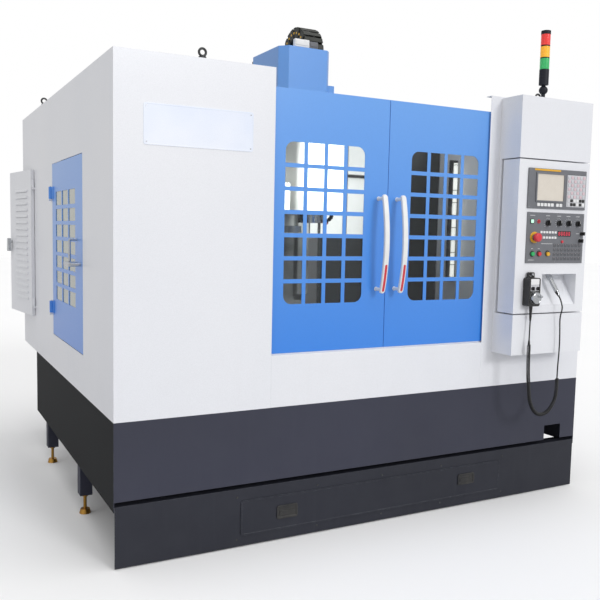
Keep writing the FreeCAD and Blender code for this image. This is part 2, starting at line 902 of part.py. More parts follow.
def pod_frame():
    right = pod_right()
    s = box_wall
    upper = block(pod_left, right, pod_front, 0, box_top + pod_gap, pod_top)
    upper_hollow = block(pod_left + s, right - s, pod_front + s, 1, box_top + pod_gap + s, pod_top - s)
    lower = block(pod_left, right, pod_front, 0, pod_bottom, box_bottom - pod_gap)
    lower_hollow = block(pod_left + s, right - s, pod_front + s, 1, pod_bottom + s, box_bottom - pod_gap - s)
    spine = block(pod_left, right, -pod_spine, 0, box_bottom - pod_gap, box_top + pod_gap)
    x, y = swivel_axis()
    top_pin = rod((x, y, box_top - 20), UP, swivel_radius, 20 + pod_gap + s)
    low_pin = rod((x, y, box_bottom - pod_gap - s), UP, swivel_radius, 20 + pod_gap + s)
    washer = rod((x, y, box_bottom - pod_gap), UP, swivel_radius + 8, pod_gap - running_gap)
    return fuse([upper.cut(upper_hollow), lower.cut(lower_hollow), spine, top_pin, low_pin, washer])


def pocket_shape(grow):
    left = pocket_left - grow
    top = pocket_bottom + pocket_height + grow
    low = pocket_bottom - grow
    deep = pod_front + pocket_depth + grow
    front = pod_front - 1 if grow == 0 else pod_front
    points = [(left, front, low), (left, pod_front + 6, low), (left, deep, top - 25), (left, deep, top), (left, front, top)]
    return prism(points, V(pocket_width + 2 * grow, 0, 0))


def control_box():
    right = pod_right()
    s = box_wall
    outer = block(pod_left, right, pod_front, box_back, box_bottom, box_top)
    hollow = block(pod_left + s, right - s, pod_front + s, box_back - s, box_bottom + s, box_top - s)
    shell = outer.cut(hollow)
    display_hole = block(display_left + 8, display_left + display_width - 8, pod_front - 1, pod_front + s + 1,
                         display_bottom + 8, display_bottom + display_height - 8)
    panel_hole = block(panel_left + panel_margin, panel_left + panel_width - panel_margin, pod_front - 1, pod_front + s + 1,
                       panel_bottom + panel_margin, panel_bottom + panel_height - panel_margin)
    shell = shell.cut(display_hole).cut(panel_hole)
    x, y = swivel_axis()
    bosses = [rod((x, y, box_bottom), UP, swivel_radius + 6, 24), rod((x, y, box_top - 24), UP, swivel_radius + 6, 24)]
    body = fuse([shell, pocket_shape(box_wall)] + bosses).cut(pocket_shape(0))
    body = body.cut(rod((x, y, box_bottom - 1), UP, swivel_radius + pin_gap, 22))
    return body.cut(rod((x, y, box_top - 21), UP, swivel_radius + pin_gap, 22))


def display_unit():
    w = display_width
    h = display_height
    x = display_left
    z = display_bottom
    bezel = rounded(block(x, x + w, pod_front - display_proud, pod_front, z, z + h), 4, BACK)
    screen = block(x + 57, x + 57 + 182, pod_front - display_proud - 1, pod_front - display_proud + 3, z + 42, z + 42 + 130)
    keys = block(x + 266, x + 266 + 118, pod_front - display_proud - 1, pod_front - display_proud + 2, z + 16, z + 178)
    body = block(x + 10, x + w - 10, pod_front, pod_front + 50, z + 10, z + h - 10)
    return fuse([bezel.cut(screen).cut(keys), body])


def panel_point(place):
    return panel_left + place[0], panel_bottom + place[1]


def operator_panel():
    right = panel_left + panel_width
    plate = block(panel_left, right, panel_face, pod_front, panel_bottom, panel_bottom + panel_height)
    x, z = panel_point(estop_place)
    plate = fuse([plate, rod((x, panel_face, z), -BACK, estop_collar, 8)])
    plate = plate.cut(rod((x, panel_face - 20, z), BACK, estop_stem + running_gap, 40))
    for place in button_places.values():
        x, z = panel_point(place)
        plate = plate.cut(rod((x, panel_face - 1, z), BACK, button_radius + running_gap, 20))
    for place in knob_places:
        x, z = panel_point(place)
        plate = plate.cut(rod((x, panel_face - 1, z), BACK, knob_shaft + pin_gap, 20))
    for place in selector_places:
        x, z = panel_point(place)
        plate = plate.cut(rod((x, panel_face - 1, z), BACK, selector_radius + running_gap, 20))
    return plate


def estop_button():
    x, z = panel_point(estop_place)
    stem = rod((x, panel_face - 18, z), BACK, estop_stem, 18 + panel_thickness + 10)
    head = rod((x, panel_face - 36, z), BACK, estop_radius, 18)
    rim = [e for e in head.Edges if abs(e.BoundBox.YMax - (panel_face - 36)) < 0.5]
    return fuse([head.makeFillet(7, rim), stem])


def push_button(place):
    x, z = panel_point(place)
    return rod((x, panel_face - 10, z), BACK, button_radius, 10 + panel_thickness + 8)


def rotary_knob(place):
    x, z = panel_point(place)
    low = panel_face - running_gap
    disc = rod((x, low, z), -BACK, knob_radius, 7)
    wing = block(x - 4, x + 4, low - knob_height, low - 6, z - knob_radius + 1, z + knob_radius - 1)
    shaft = rod((x, low - 1, z), BACK, knob_shaft, panel_thickness + 9)
    return fuse([disc, wing, shaft])


def selector(place):
    x, z = panel_point(place)
    barrel = rod((x, panel_face - 9, z), BACK, selector_radius, 9 + panel_thickness + 8)
    lever = block(x - 3, x + 3, panel_face - 24, panel_face - 8, z - selector_radius, z + selector_radius)
    return fuse([barrel, lever])


# Handwheel pendant
def pendant_front():
    return pendant_back - pendant_depth


def pendant():
    half = pendant_width / 2
    front = pendant_front()
    top = pendant_bottom + pendant_height
    body = block(pendant_x - half, pendant_x + half, front, pendant_back, pendant_bottom, top)
    body = rounded(body, pendant_corner, BACK)
    loop = block(pendant_x - 22, pendant_x + 22, pendant_back - 16, pendant_back - 4, top - 10, top + loop_height)
    loop = rounded(loop, 8, BACK)
    hole = rounded(block(pendant_x - 12, pendant_x + 12, pendant_back - 20, pendant_back, top + 4, top + 19), 6, BACK)
    gland = Part.makeCone(6, 9, 50, V(pendant_x, pendant_mid(), pendant_bottom - 50), UP)
    gland = gland.fuse(rod((pendant_x, pendant_mid(), pendant_bottom - 2), UP, 11, 6))
    shape = fuse([body, loop.cut(hole), gland])
    shape = shape.cut(rod((pendant_x, front - 1, wheel_z), BACK, 6 + pin_gap, 21))
    for x in dial_places():
        shape = shape.cut(rod((x, front - 1, dial_z), BACK, 3 + pin_gap, 13))
    return fuse([shape, pendant_hook()])


def pendant_hook():
    top = pendant_bottom + pendant_height
    stem = block(pendant_x - 5, pendant_x + 5, pendant_back - 22, pod_front, top + 13, top + 19)
    return stem


def pendant_mid():
    return pendant_back - pendant_depth / 2


def dial_places():
    return [pendant_x - dial_spread / 2, pendant_x + dial_spread / 2]


def handwheel():
    front = pendant_front() - running_gap
    y = front - wheel_depth + running_gap
    wheel = rod((pendant_x, y, wheel_z), BACK, wheel_radius, wheel_depth - running_gap)
    knob = rod((pendant_x + 17, y - 16, wheel_z + 8), BACK, 6, 17)
    shaft = rod((pendant_x, front - 1, wheel_z), BACK, 6, 19)
    return fuse([wheel, knob, shaft])


def pendant_dial(x):
    front = pendant_front() - running_gap
    disc = rod((x, front - 8, dial_z), BACK, dial_radius, 8)
    wing = block(x - 2.5, x + 2.5, front - 15, front - 7, dial_z - dial_radius, dial_z + dial_radius)
    shaft = rod((x, front - 1, dial_z), BACK, 3, 12)
    return fuse([disc, wing, shaft])


def plug_axis():
    top = pocket_bottom + pocket_height
    start = V(pocket_left + 88, pod_front + 47, top - 4)
    end = V(pocket_left + 98, pod_front - 7, top - 88)
    return start, end


def pendant_plug(box):
    start, end = plug_axis()
    run = end - start
    unit = V(run.x, run.y, run.z).normalize()
    nut = Part.makeCylinder(15, 40, start - unit * 12, unit)
    shell = Part.makeCylinder(12, run.Length, start, unit)
    boot = Part.makeCone(11, 5, 30, end, unit)
    pieces = fuse([nut, shell, boot]).cut(box).Solids
    return max(pieces, key=lambda piece: piece.Volume)


# Cord: straight runs joined by tangent arcs
def cord_route(points, diameter, label):
    pts = [V(*p) for p in points]
    edges = []
    start = pts[0]
    radii = []
    for i in range(1, len(pts) - 1):
        before = (pts[i - 1] - pts[i])
        after = (pts[i + 1] - pts[i])
        turn = math.pi - before.getAngle(after)
        reach = 0.45 * min(before.Length, after.Length)
        radius = reach / math.tan(turn / 2)
        radii.append(round(radius))
        u = before.normalize()
        w = after.normalize()
        first = pts[i] + u * reach
        last = pts[i] + w * reach
        middle = (u + w).normalize()
        centre = pts[i] + middle * (radius / math.cos(turn / 2))
        top = centre - middle * radius
        edges.append(Part.LineSegment(start, first).toShape())
        edges.append(Part.Arc(first, top, last).toShape())
        start = last
    edges.append(Part.LineSegment(start, pts[-1]).toShape())
    wire = Part.Wire(edges)
    circle = Part.Wire([Part.Circle(pts[0], pts[1] - pts[0], diameter / 2).toShape()])
    tube = wire.makePipeShell([circle], True, True)
    expected = math.pi * diameter ** 2 / 4 * wire.Length
    print(label, "radii", radii, "length", round(wire.Length, 1), "volume ratio", round(tube.Volume / expected, 4))
    return tube


def lead_from_pendant():
    y = pendant_mid()
    top = pendant_bottom - 50
    return [(pendant_x, y, top), (pendant_x, y, top - 40), (pendant_x - 6, y - 5, top - 100),
            (pendant_x - 6, y - 5, top - 148)]


def curly_route():
    x0, y0, z0 = lead_from_pendant()[-1]
    return [(x0, y0, z0), (x0, y0, z0 - 110), (x0 + 9, y0 - 3, z0 - 220), (x0 + 22, y0 - 2, z0 - 300),
            (x0 + 76, y0 + 2, z0 - 368), (x0 + 150, y0 + 3, z0 - 366), (x0 + 200, y0 + 1, z0 - 306),
            (x0 + 208, y0, z0 - 246), (x0 + 208, y0, z0 - 186)]


def lead_to_plug():
    start, end = plug_axis()
    run = end - start
    unit = V(run.x, run.y, run.z).normalize()
    tip = end + unit * 30
    x, y, z = curly_route()[-1]
    near = tip + unit * 24
    return [(x, y, z), (x, y, z + 60), (x + 7, y + 1, z + 150), (x + 6, y + 2, z + 240), (x - 2, y + 1, z + 320),
            (near.x + 5, near.y - 9, near.z - 42), (near.x, near.y, near.z), (tip.x, tip.y, tip.z)]


# Signal tower and lifting eyes
def tower_light():
    x, y = tower_x, tower_y
    post = rod((x, y, pod_top), UP, 10, 120)
    ball = Part.makeSphere(22, V(x, y, pod_top + 50))
    flat = block(x - 40, x + 40, y - 40, y + 40, pod_top - 50, pod_top)
    collar = rod((x, y, pod_top + 76), UP, tower_radius, tower_lenses[0] - pod_top - 76)
    parts = [post, ball, collar, rod((x, y, pod_top), UP, 20, 8)]
    core = 6
    parts.append(rod((x, y, tower_lenses[0] - 1), UP, core, tower_cap_top - tower_lenses[0]))
    for z in tower_lenses[1:]:
        parts.append(rod((x, y, z - 5), UP, tower_radius - 1, 5))
    last = tower_lenses[-1] + tower_lens_height
    parts.append(rod((x, y, last), UP, tower_radius, tower_cap_top - last))
    return fuse(parts).cut(flat)


def tower_lens_group():
    rings = []
    for z in tower_lenses:
        outer = rod((tower_x, tower_y, z), UP, tower_radius, tower_lens_height)
        rings.append(outer.cut(rod((tower_x, tower_y, z - 1), UP, 18, tower_lens_height + 2)))
    return group(rings)


def eye_places():
    back = enclosure_depth - 200
    half = flange / 2
    return [(eye_inset, half), (machine_width - eye_inset, half), (half, back), (machine_width - half, back)]


def eye_bolts():
    eyes = []
    for x, y in eye_places():
        base = enclosure_top
        collar = rod((x, y, base), UP, eye_collar_radius, eye_collar_height)
        centre = V(x, y, base + eye_collar_height + eye_radius + eye_wire - 2)
        ring = Part.makeTorus(eye_radius, eye_wire, centre, BACK)
        eyes.append(fuse([collar, ring]))
    return group(eyes)


os.makedirs("parts", exist_ok=True)

save("left_enclosure", left_enclosure())
save("right_enclosure", right_enclosure())
save("front_sill", front_sill())
save("rear_wall", rear_wall())
save("chamber_lining", chamber_lining())
save("base_skirt", base_skirt())
save("support_legs", support_legs())
save("levelling_feet", levelling_feet())
save("coolant_tank", coolant_tank())
save("bed", bed())
save("column", column())
save("axis_motors", axis_motors())
save("saddle", saddle())
save("table", table())
save("spindle_head", spindle_head())
save("spindle", spindle())
save("spindle_motor", spindle_motor())
save("head_cover", head_cover())
save("cable_chain", cable_chain())
save("magazine_frame", magazine_frame())
save("magazine_disc", magazine_disc())
save("tool_arm", tool_arm())
save("door_rail", door_rail())
save("left_door", left_door())
save("right_door", right_door())
save("left_window", window_pane(left_window_left()))
save("right_window", window_pane(right_window_left()))
save("left_handle", door_handle(meeting_line - handle_offset))
save("right_handle", door_handle(meeting_line + handle_offset))
save("side_door", side_door())
save("side_window", side_window())
save("side_latch", side_latch())
save("electrical_cabinet", electrical_cabinet())
save("cabinet_door", cabinet_door())
save("cabinet_handle", cabinet_handle())
save("pod_frame", pod_frame())
swivel_box = control_box()
save("pendant_plug", pendant_plug(swivel_box))
save("control_box", swivel_box)
save("display_unit", display_unit())
save("operator_panel", operator_panel())
save("estop_button", estop_button())
for name, place in button_places.items():
    save(name, push_button(place))
for number, place in enumerate(knob_places, 1):
    save("rotary_knob_" + str(number), rotary_knob(place))
for number, place in enumerate(selector_places, 1):
    save("selector_" + str(number), selector(place))
save("pendant", pendant())
save("handwheel", handwheel())
for number, x in enumerate(dial_places(), 1):
    save("pendant_dial_" + str(number), pendant_dial(x))
save("cord_pendant_lead", cord_route(lead_from_pendant(), lead_diameter, "pendant lead"))
save("cord_curl", cord_route(curly_route(), curl_diameter, "curl"))
save("cord_plug_lead", cord_route(lead_to_plug(), lead_diameter, "plug lead"))
save("tower_light", tower_light())
save("tower_lenses", tower_lens_group())
save("eye_bolts", eye_bolts())
print("origin", origin_x, origin_y)
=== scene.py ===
import bpy
import json
import math
from mathutils import Matrix, Vector


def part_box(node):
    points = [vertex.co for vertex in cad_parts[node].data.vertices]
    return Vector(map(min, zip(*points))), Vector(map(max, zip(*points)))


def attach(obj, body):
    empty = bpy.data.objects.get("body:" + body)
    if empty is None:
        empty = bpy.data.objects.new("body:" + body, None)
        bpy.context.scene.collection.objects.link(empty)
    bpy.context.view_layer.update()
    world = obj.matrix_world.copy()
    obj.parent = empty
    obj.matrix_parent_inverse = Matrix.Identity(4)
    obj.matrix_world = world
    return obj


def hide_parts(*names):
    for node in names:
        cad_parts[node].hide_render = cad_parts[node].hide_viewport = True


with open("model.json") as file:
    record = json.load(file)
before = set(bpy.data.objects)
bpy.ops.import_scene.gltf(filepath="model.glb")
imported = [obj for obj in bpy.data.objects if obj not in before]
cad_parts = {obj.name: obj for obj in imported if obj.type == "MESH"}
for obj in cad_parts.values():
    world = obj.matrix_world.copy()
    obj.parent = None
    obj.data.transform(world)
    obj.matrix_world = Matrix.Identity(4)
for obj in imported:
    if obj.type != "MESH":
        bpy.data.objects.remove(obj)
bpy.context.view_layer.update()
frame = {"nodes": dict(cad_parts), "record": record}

# Vertical machining centre, in metres. The doors face -Y, the operator's right is +X.
nodes = frame["nodes"]
print("frame loaded", len(nodes), "nodes")

def clearSelection():
    if bpy.context.object and bpy.context.object.mode != "OBJECT":
        bpy.ops.object.mode_set(mode="OBJECT")
    bpy.ops.object.select_all(action="DESELECT")


def pick(obj):
    clearSelection()
    obj.select_set(True)
    bpy.context.view_layer.objects.active = obj
    return obj


def settle(obj):
    pick(obj)
    bpy.ops.object.transform_apply(location=True, rotation=True, scale=True)
    return obj


def addBlock(name, low, high):
    clearSelection()
    low, high = Vector(low), Vector(high)
    bpy.ops.mesh.primitive_cube_add(size=1, location=(low + high) / 2)
    obj = bpy.context.object
    obj.name = name
    obj.scale = high - low
    return settle(obj)


def addRod(name, start, end, radius, sides=32, endRadius=None):
    clearSelection()
    start, end = Vector(start), Vector(end)
    run = end - start
    tip = radius if endRadius is None else endRadius
    bpy.ops.mesh.primitive_cone_add(vertices=sides, radius1=radius, radius2=tip, depth=run.length,
                                    location=(start + end) / 2)
    obj = bpy.context.object
    obj.name = name
    obj.rotation_mode = "QUATERNION"
    obj.rotation_quaternion = Vector((0, 0, 1)).rotation_difference(run)
    return settle(obj)


def addBall(name, centre, radius, sides=24):
    clearSelection()
    bpy.ops.mesh.primitive_uv_sphere_add(segments=sides, ring_count=sides // 2, radius=radius, location=centre)
    bpy.context.object.name = name
    return settle(bpy.context.object)


def addRing(name, centre, radius, wire, axis="Z", sides=32, wireSides=12):
    clearSelection()
    turn = {"Z": (0, 0, 0), "Y": (math.pi / 2, 0, 0), "X": (0, math.pi / 2, 0)}[axis]
    bpy.ops.mesh.primitive_torus_add(major_radius=radius, minor_radius=wire, major_segments=sides,
                                     minor_segments=wireSides, location=centre, rotation=turn)
    bpy.context.object.name = name
    return settle(bpy.context.object)


def smooth(obj, angle=35):
    pick(obj)
    bpy.ops.object.shade_smooth_by_angle(angle=math.radians(angle))
    return obj


def soften(obj, width, segments=2, angle=30):
    pick(obj)
    bevel = obj.modifiers.new("edges", "BEVEL")
    bevel.width = width
    bevel.segments = segments
    bevel.limit_method = "ANGLE"
    bevel.angle_limit = math.radians(angle)
    bevel.use_clamp_overlap = True
    bpy.ops.object.modifier_apply(modifier="edges")
    smooth(obj)
    flat = obj.modifiers.new("flat", "WEIGHTED_NORMAL")
    flat.weight = 100
    flat.keep_sharp = True
    bpy.ops.object.modifier_apply(modifier="flat")
    return obj


def softRod(*args, edge, steps=2):
    return soften(addRod(*args), edge, steps)


def joined(name, parts):
    pick(parts[0])
    for part in parts[1:]:
        part.select_set(True)
    if len(parts) > 1:
        bpy.ops.object.join()
    obj = bpy.context.object
    obj.name = name
    return obj


def copyTurned(obj, *moves):
    twin = obj.copy()
    twin.data = obj.data.copy()
    bpy.context.scene.collection.objects.link(twin)
    for move in moves:
        twin.data.transform(move)
    return twin


def copyMoved(obj, offset):
    return copyTurned(obj, Matrix.Translation(Vector(offset)))


def cutWith(obj, cutter):
    pick(obj)
    cut = obj.modifiers.new("cut", "BOOLEAN")
    cut.operation = "DIFFERENCE"
    cut.solver = "EXACT"
    cut.object = cutter
    bpy.ops.object.modifier_apply(modifier="cut")
    bpy.data.objects.remove(cutter)
    return obj


def selectFaces(obj, test):
    pick(obj)
    bpy.ops.object.mode_set(mode="EDIT")
    bpy.ops.mesh.select_mode(type="FACE")
    bpy.ops.mesh.select_all(action="DESELECT")
    bpy.ops.object.mode_set(mode="OBJECT")
    for face in obj.data.polygons:
        face.select = test(face)
    bpy.ops.object.mode_set(mode="EDIT")


def insetPanel(obj, test, border, depth):
    selectFaces(obj, test)
    bpy.ops.mesh.inset(thickness=border, depth=0)
    bpy.ops.mesh.inset(thickness=abs(depth) * 0.6, depth=depth)
    bpy.ops.object.mode_set(mode="OBJECT")
    return obj


def finishPiece(obj, body, look, replaced=()):
    obj.data.materials.clear()
    for part in (look if isinstance(look, (list, tuple)) else [look]):
        obj.data.materials.append(part)
    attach(obj, body)
    if replaced:
        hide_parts(*replaced)
    return obj


def softCopy(node, width, segments=2, angle=25):
    clearSelection()
    twin = nodes[node].copy()
    twin.data = nodes[node].data.copy()
    for key in list(twin.keys()):
        del twin[key]
    twin.parent = None
    twin.matrix_world = Matrix.Identity(4)
    twin.name = node + "_shell"
    bpy.context.scene.collection.objects.link(twin)
    pick(twin)
    bpy.ops.object.mode_set(mode="EDIT")
    bpy.ops.mesh.select_all(action="SELECT")
    bpy.ops.mesh.remove_doubles(threshold=0.00002)
    bpy.ops.mesh.dissolve_limited(angle_limit=math.radians(1))
    bpy.ops.object.mode_set(mode="OBJECT")
    return soften(twin, width, segments, angle)


# The machine's own corner: left side plane, front sheet plane, floor.
corner = Vector((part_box("base_skirt")[0].x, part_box("base_skirt")[0].y, 0))


def at(x, y, z):
    return corner + Vector((x, y, z))


def slab(name, xs, ys, zs):
    return addBlock(name, at(xs[0], ys[0], zs[0]), at(xs[1], ys[1], zs[1]))


def softSlab(name, xs, ys, zs, edge, steps=2):
    return soften(slab(name, xs, ys, zs), edge, steps)


# Camera, floor and lights.
viewpoint = {"place": (-1.989206, -4.118551, 1.408693), "yaw": 27.77, "pitch": 5.25, "roll": 1.208, "lens": 45.64}
studio = {"floorSize": 60, "floorReturn": "c3c3c5", "ambient": 0.67, "backdrop": 1.0,
          "keyStrength": 1.03, "keyFrom": (0.25, -0.9, 0.38), "keySpread": 16,
          "fillStrength": 0.2, "fillFrom": (-0.8, -0.35, 0.6), "fillSpread": 60,
          "topStrength": 0.95, "topFrom": (0.1, -0.2, 1), "topSpread": 50,
          "lampPower": 4, "lampAt": (1.3, 0.16, 1.9), "lampTowards": (1.3, 1.0, 1.45), "lampSpread": 1.3}

camera = bpy.data.objects.new("camera", bpy.data.cameras.new("camera"))
bpy.context.scene.collection.objects.link(camera)
camera.data.lens = viewpoint["lens"]
camera.data.sensor_width = 36
camera.data.clip_end = 200
camera.matrix_world = (Matrix.Translation(viewpoint["place"])
                       @ Matrix.Rotation(-math.radians(viewpoint["yaw"]), 4, "Z")
                       @ Matrix.Rotation(math.pi / 2 - math.radians(viewpoint["pitch"]), 4, "X")
                       @ Matrix.Rotation(math.radians(viewpoint["roll"]), 4, "Z"))
bpy.context.scene.camera = camera
bpy.context.scene.view_settings.view_transform = "Standard"

clearSelection()
bpy.ops.mesh.primitive_plane_add(size=studio["floorSize"], location=(0, 0, -0.0005))
floor = bpy.context.object
floor.name = "floor"


def addSun(name, strength, towards, spread):
    light = bpy.data.lights.new(name, "SUN")
    light.energy = strength
    light.angle = math.radians(spread)
    lamp = bpy.data.objects.new(name, light)
    lamp.rotation_mode = "QUATERNION"
    lamp.rotation_quaternion = Vector((0, 0, 1)).rotation_difference(Vector(towards))
    bpy.context.scene.collection.objects.link(lamp)


addSun("key", studio["keyStrength"], studio["keyFrom"], studio["keySpread"])
addSun("fill", studio["fillStrength"], studio["fillFrom"], studio["fillSpread"])
addSun("top", studio["topStrength"], studio["topFrom"], studio["topSpread"])

world = bpy.data.worlds.new("studio")
bpy.context.scene.world = world
world.use_nodes = True
worldTree = world.node_tree
background = worldTree.nodes["Background"]
background.inputs["Color"].default_value = (1, 1, 1, 1)
lightPath = worldTree.nodes.new("ShaderNodeLightPath")
levels = worldTree.nodes.new("ShaderNodeMix")
levels.inputs["A"].default_value = studio["ambient"]
levels.inputs["B"].default_value = studio["backdrop"]
worldTree.links.new(lightPath.outputs["Is Camera Ray"], levels.inputs["Factor"])
worldTree.links.new(levels.outputs["Result"], background.inputs["Strength"])

workLight = bpy.data.lights.new("chamber_light", "AREA")
workLight.shape = "RECTANGLE"
workLight.size, workLight.size_y = 0.5, 0.08
workLight.energy = studio["lampPower"]
workLight.spread = studio["lampSpread"]
workLamp = bpy.data.objects.new("chamber_light", workLight)
workLamp.location = at(*studio["lampAt"])
workLamp.rotation_mode = "QUATERNION"
lampAim = at(*studio["lampTowards"]) - at(*studio["lampAt"])
workLamp.rotation_quaternion = Vector((0, 0, -1)).rotation_difference(lampAim)
bpy.context.scene.collection.objects.link(workLamp)
print("camera and lights set")


# Finishes.
def tone(code):
    parts = [int(code[i:i + 2], 16) / 255 for i in (0, 2, 4)]
    return tuple(p / 12.92 if p <= 0.04045 else ((p + 0.055) / 1.055) ** 2.4 for p in parts) + (1,)


def feed(tree, socket, value):
    if isinstance(value, bpy.types.NodeSocket):
        tree.links.new(value, socket)
    else:
        socket.default_value = value


def addNode(tree, kind, inputs=None, **settings):
    node = tree.nodes.new(kind)
    for key, value in settings.items():
        setattr(node, key, value)
    for key, value in (inputs or {}).items():
        feed(tree, node.inputs[key], value)
    return node


def makeGroup(name, inputs, outputs):
    tree = bpy.data.node_groups.new(name, "ShaderNodeTree")
    for label, kind, value in inputs:
        socket = tree.interface.new_socket(label, in_out="INPUT", socket_type="NodeSocket" + kind)
        if value is not None:
            socket.default_value = value
    for label, kind in outputs:
        tree.interface.new_socket(label, in_out="OUTPUT", socket_type="NodeSocket" + kind)
    return tree, tree.nodes.new("NodeGroupInput").outputs, tree.nodes.new("NodeGroupOutput").inputs


def useGroup(tree, group, inputs):
    node = tree.nodes.new("ShaderNodeGroup")
    node.node_tree = group
    for key, value in inputs.items():
        feed(tree, node.inputs[key], value)
    return node.outputs


def mixColour(tree, factor, first, second, blend="MIX"):
    node = addNode(tree, "ShaderNodeMix", data_type="RGBA", blend_type=blend)
    for key, value in (("Factor", factor), ("A", first), ("B", second)):
        wanted = "VALUE" if key == "Factor" else "RGBA"
        feed(tree, next(s for s in node.inputs if s.name == key and s.type == wanted), value)
    return next(s for s in node.outputs if s.type == "RGBA")


def noise(tree, where, scale, detail=3, rough=0.5):
    return addNode(tree, "ShaderNodeTexNoise", {"Vector": where, "Scale": scale, "Detail": detail,
                                                "Roughness": rough}).outputs["Fac"]


def ramp(tree, value, low, high, outLow=0.0, outHigh=1.0):
    return addNode(tree, "ShaderNodeMapRange", {"Value": value, "From Min": low, "From Max": high,
                                                "To Min": outLow, "To Max": outHigh}).outputs["Result"]


def multiply(tree, first, second):
    node = addNode(tree, "ShaderNodeMath", operation="MULTIPLY")
    for socket, value in zip(node.inputs, (first, second)):
        feed(tree, socket, value)
    return node.outputs[0]


# Bare spots and light catches along real edges.
edgeWearAndGlint, inside, outside = makeGroup("edge_wear_and_glint", [("Vector", "Vector", None), ("Width", "Float", 0.0015),
                                                    ("Amount", "Float", 0.5)], [("Mask", "Float")])
rounded = addNode(edgeWearAndGlint, "ShaderNodeBevel", {"Radius": inside["Width"]}, samples=4).outputs[0]
facing = addNode(edgeWearAndGlint, "ShaderNodeNewGeometry").outputs["Normal"]
turned = addNode(edgeWearAndGlint, "ShaderNodeVectorMath", {0: rounded, 1: facing}, operation="DOT_PRODUCT").outputs["Value"]
atEdge = ramp(edgeWearAndGlint, turned, 0.998, 0.9)
broken = ramp(edgeWearAndGlint, noise(edgeWearAndGlint, inside["Vector"], 55, 4, 0.65), 0.42, 0.62)
edgeWearAndGlint.links.new(multiply(edgeWearAndGlint, multiply(edgeWearAndGlint, atEdge, broken), inside["Amount"]), outside["Mask"])

# Slow drift of shade over a painted sheet, with fine specks.
paintDrift, inside, outside = makeGroup("paint_drift", [("Vector", "Vector", None), ("Colour", "Color", (1, 1, 1, 1)),
                                                        ("Deep", "Color", (0, 0, 0, 1)), ("Amount", "Float", 0.3),
                                                        ("Size", "Float", 1.2)],
                                      [("Colour", "Color"), ("Shade", "Float")])
slow = ramp(paintDrift, noise(paintDrift, inside["Vector"], inside["Size"], 2, 0.45), 0.3, 0.7)
specks = ramp(paintDrift, noise(paintDrift, inside["Vector"], 420, 2, 0.6), 0.3, 0.7, 0.94, 1.03)
drifted = mixColour(paintDrift, multiply(paintDrift, slow, inside["Amount"]), inside["Colour"], inside["Deep"])
speckled = addNode(paintDrift, "ShaderNodeVectorMath", {0: drifted}, operation="SCALE")
paintDrift.links.new(specks, speckled.inputs["Scale"])
paintDrift.links.new(speckled.outputs["Vector"], outside["Colour"])
paintDrift.links.new(slow, outside["Shade"])

# Fine ripple of sprayed enamel or moulded plastic.
skinGrain, inside, outside = makeGroup("skin_grain", [("Vector", "Vector", None), ("Fineness", "Float", 500.0),
                                                      ("Ripple", "Float", 0.5)], [("Height", "Float")])
fine = noise(skinGrain, inside["Vector"], inside["Fineness"], 3, 0.55)
wide = noise(skinGrain, inside["Vector"], 18, 2, 0.4)
rippled = addNode(skinGrain, "ShaderNodeMath", {0: multiply(skinGrain, wide, inside["Ripple"]), 1: fine},
                  operation="ADD")
skinGrain.links.new(rippled.outputs[0], outside["Height"])

# Dust and faint runs that gather low on upright faces.
shopDust, inside, outside = makeGroup("shop_dust",
                                      [("Vector", "Vector", None), ("Low", "Float", 0.0), ("High", "Float", 0.5),
                                       ("Amount", "Float", 0.3)], [("Mask", "Float")])
height = addNode(shopDust, "ShaderNodeSeparateXYZ", {0: inside["Vector"]}).outputs["Z"]
falling = addNode(shopDust, "ShaderNodeMapRange",
                  {"Value": height, "From Min": inside["High"], "From Max": inside["Low"],
                   "To Min": 0.12, "To Max": 1.0}).outputs["Result"]
runs = addNode(shopDust, "ShaderNodeMapping", {"Vector": inside["Vector"], "Scale": (28, 28, 1.6)}).outputs[0]
streaky = ramp(shopDust, noise(shopDust, runs, 1.0, 4, 0.6), 0.45, 0.75)
patchy = ramp(shopDust, noise(shopDust, inside["Vector"], 7, 4, 0.6), 0.35, 0.75)
gathered = addNode(shopDust, "ShaderNodeMath", {0: streaky, 1: patchy}, operation="MAXIMUM").outputs[0]
shopDust.links.new(multiply(shopDust, multiply(shopDust, gathered, falling), inside["Amount"]), outside["Mask"])

# Grinding and turning lines on bare metal.
toolMarks, inside, outside = makeGroup("tool_marks",
                                       [("Vector", "Vector", None), ("Stretch", "Vector", (40.0, 900.0, 900.0))],
                                       [("Height", "Float"), ("Shade", "Float")])
lines = addNode(toolMarks, "ShaderNodeMapping", {"Vector": inside["Vector"]})
toolMarks.links.new(inside["Stretch"], lines.inputs["Scale"])
marks = noise(toolMarks, lines.outputs[0], 1.0, 4, 0.6)
toolMarks.links.new(marks, outside["Height"])
toolMarks.links.new(ramp(toolMarks, marks, 0.25, 0.75), outside["Shade"])
print("effects built")


def newFinish(name):
    finish = bpy.data.materials.new(name)
    finish.use_nodes = True
    tree = finish.node_tree
    where = addNode(tree, "ShaderNodeTexCoord").outputs["Object"]
    return finish, tree, tree.nodes["Principled BSDF"], where


def lay(tree, shader, colour, roughness, height=None, strength=0.1, distance=0.001):
    tree.links.new(colour, shader.inputs["Base Color"])
    feed(tree, shader.inputs["Roughness"], roughness)
    if height is not None:
        bump = addNode(tree, "ShaderNodeBump", {"Strength": strength, "Distance": distance, "Height": height})
        tree.links.new(bump.outputs[0], shader.inputs["Normal"])


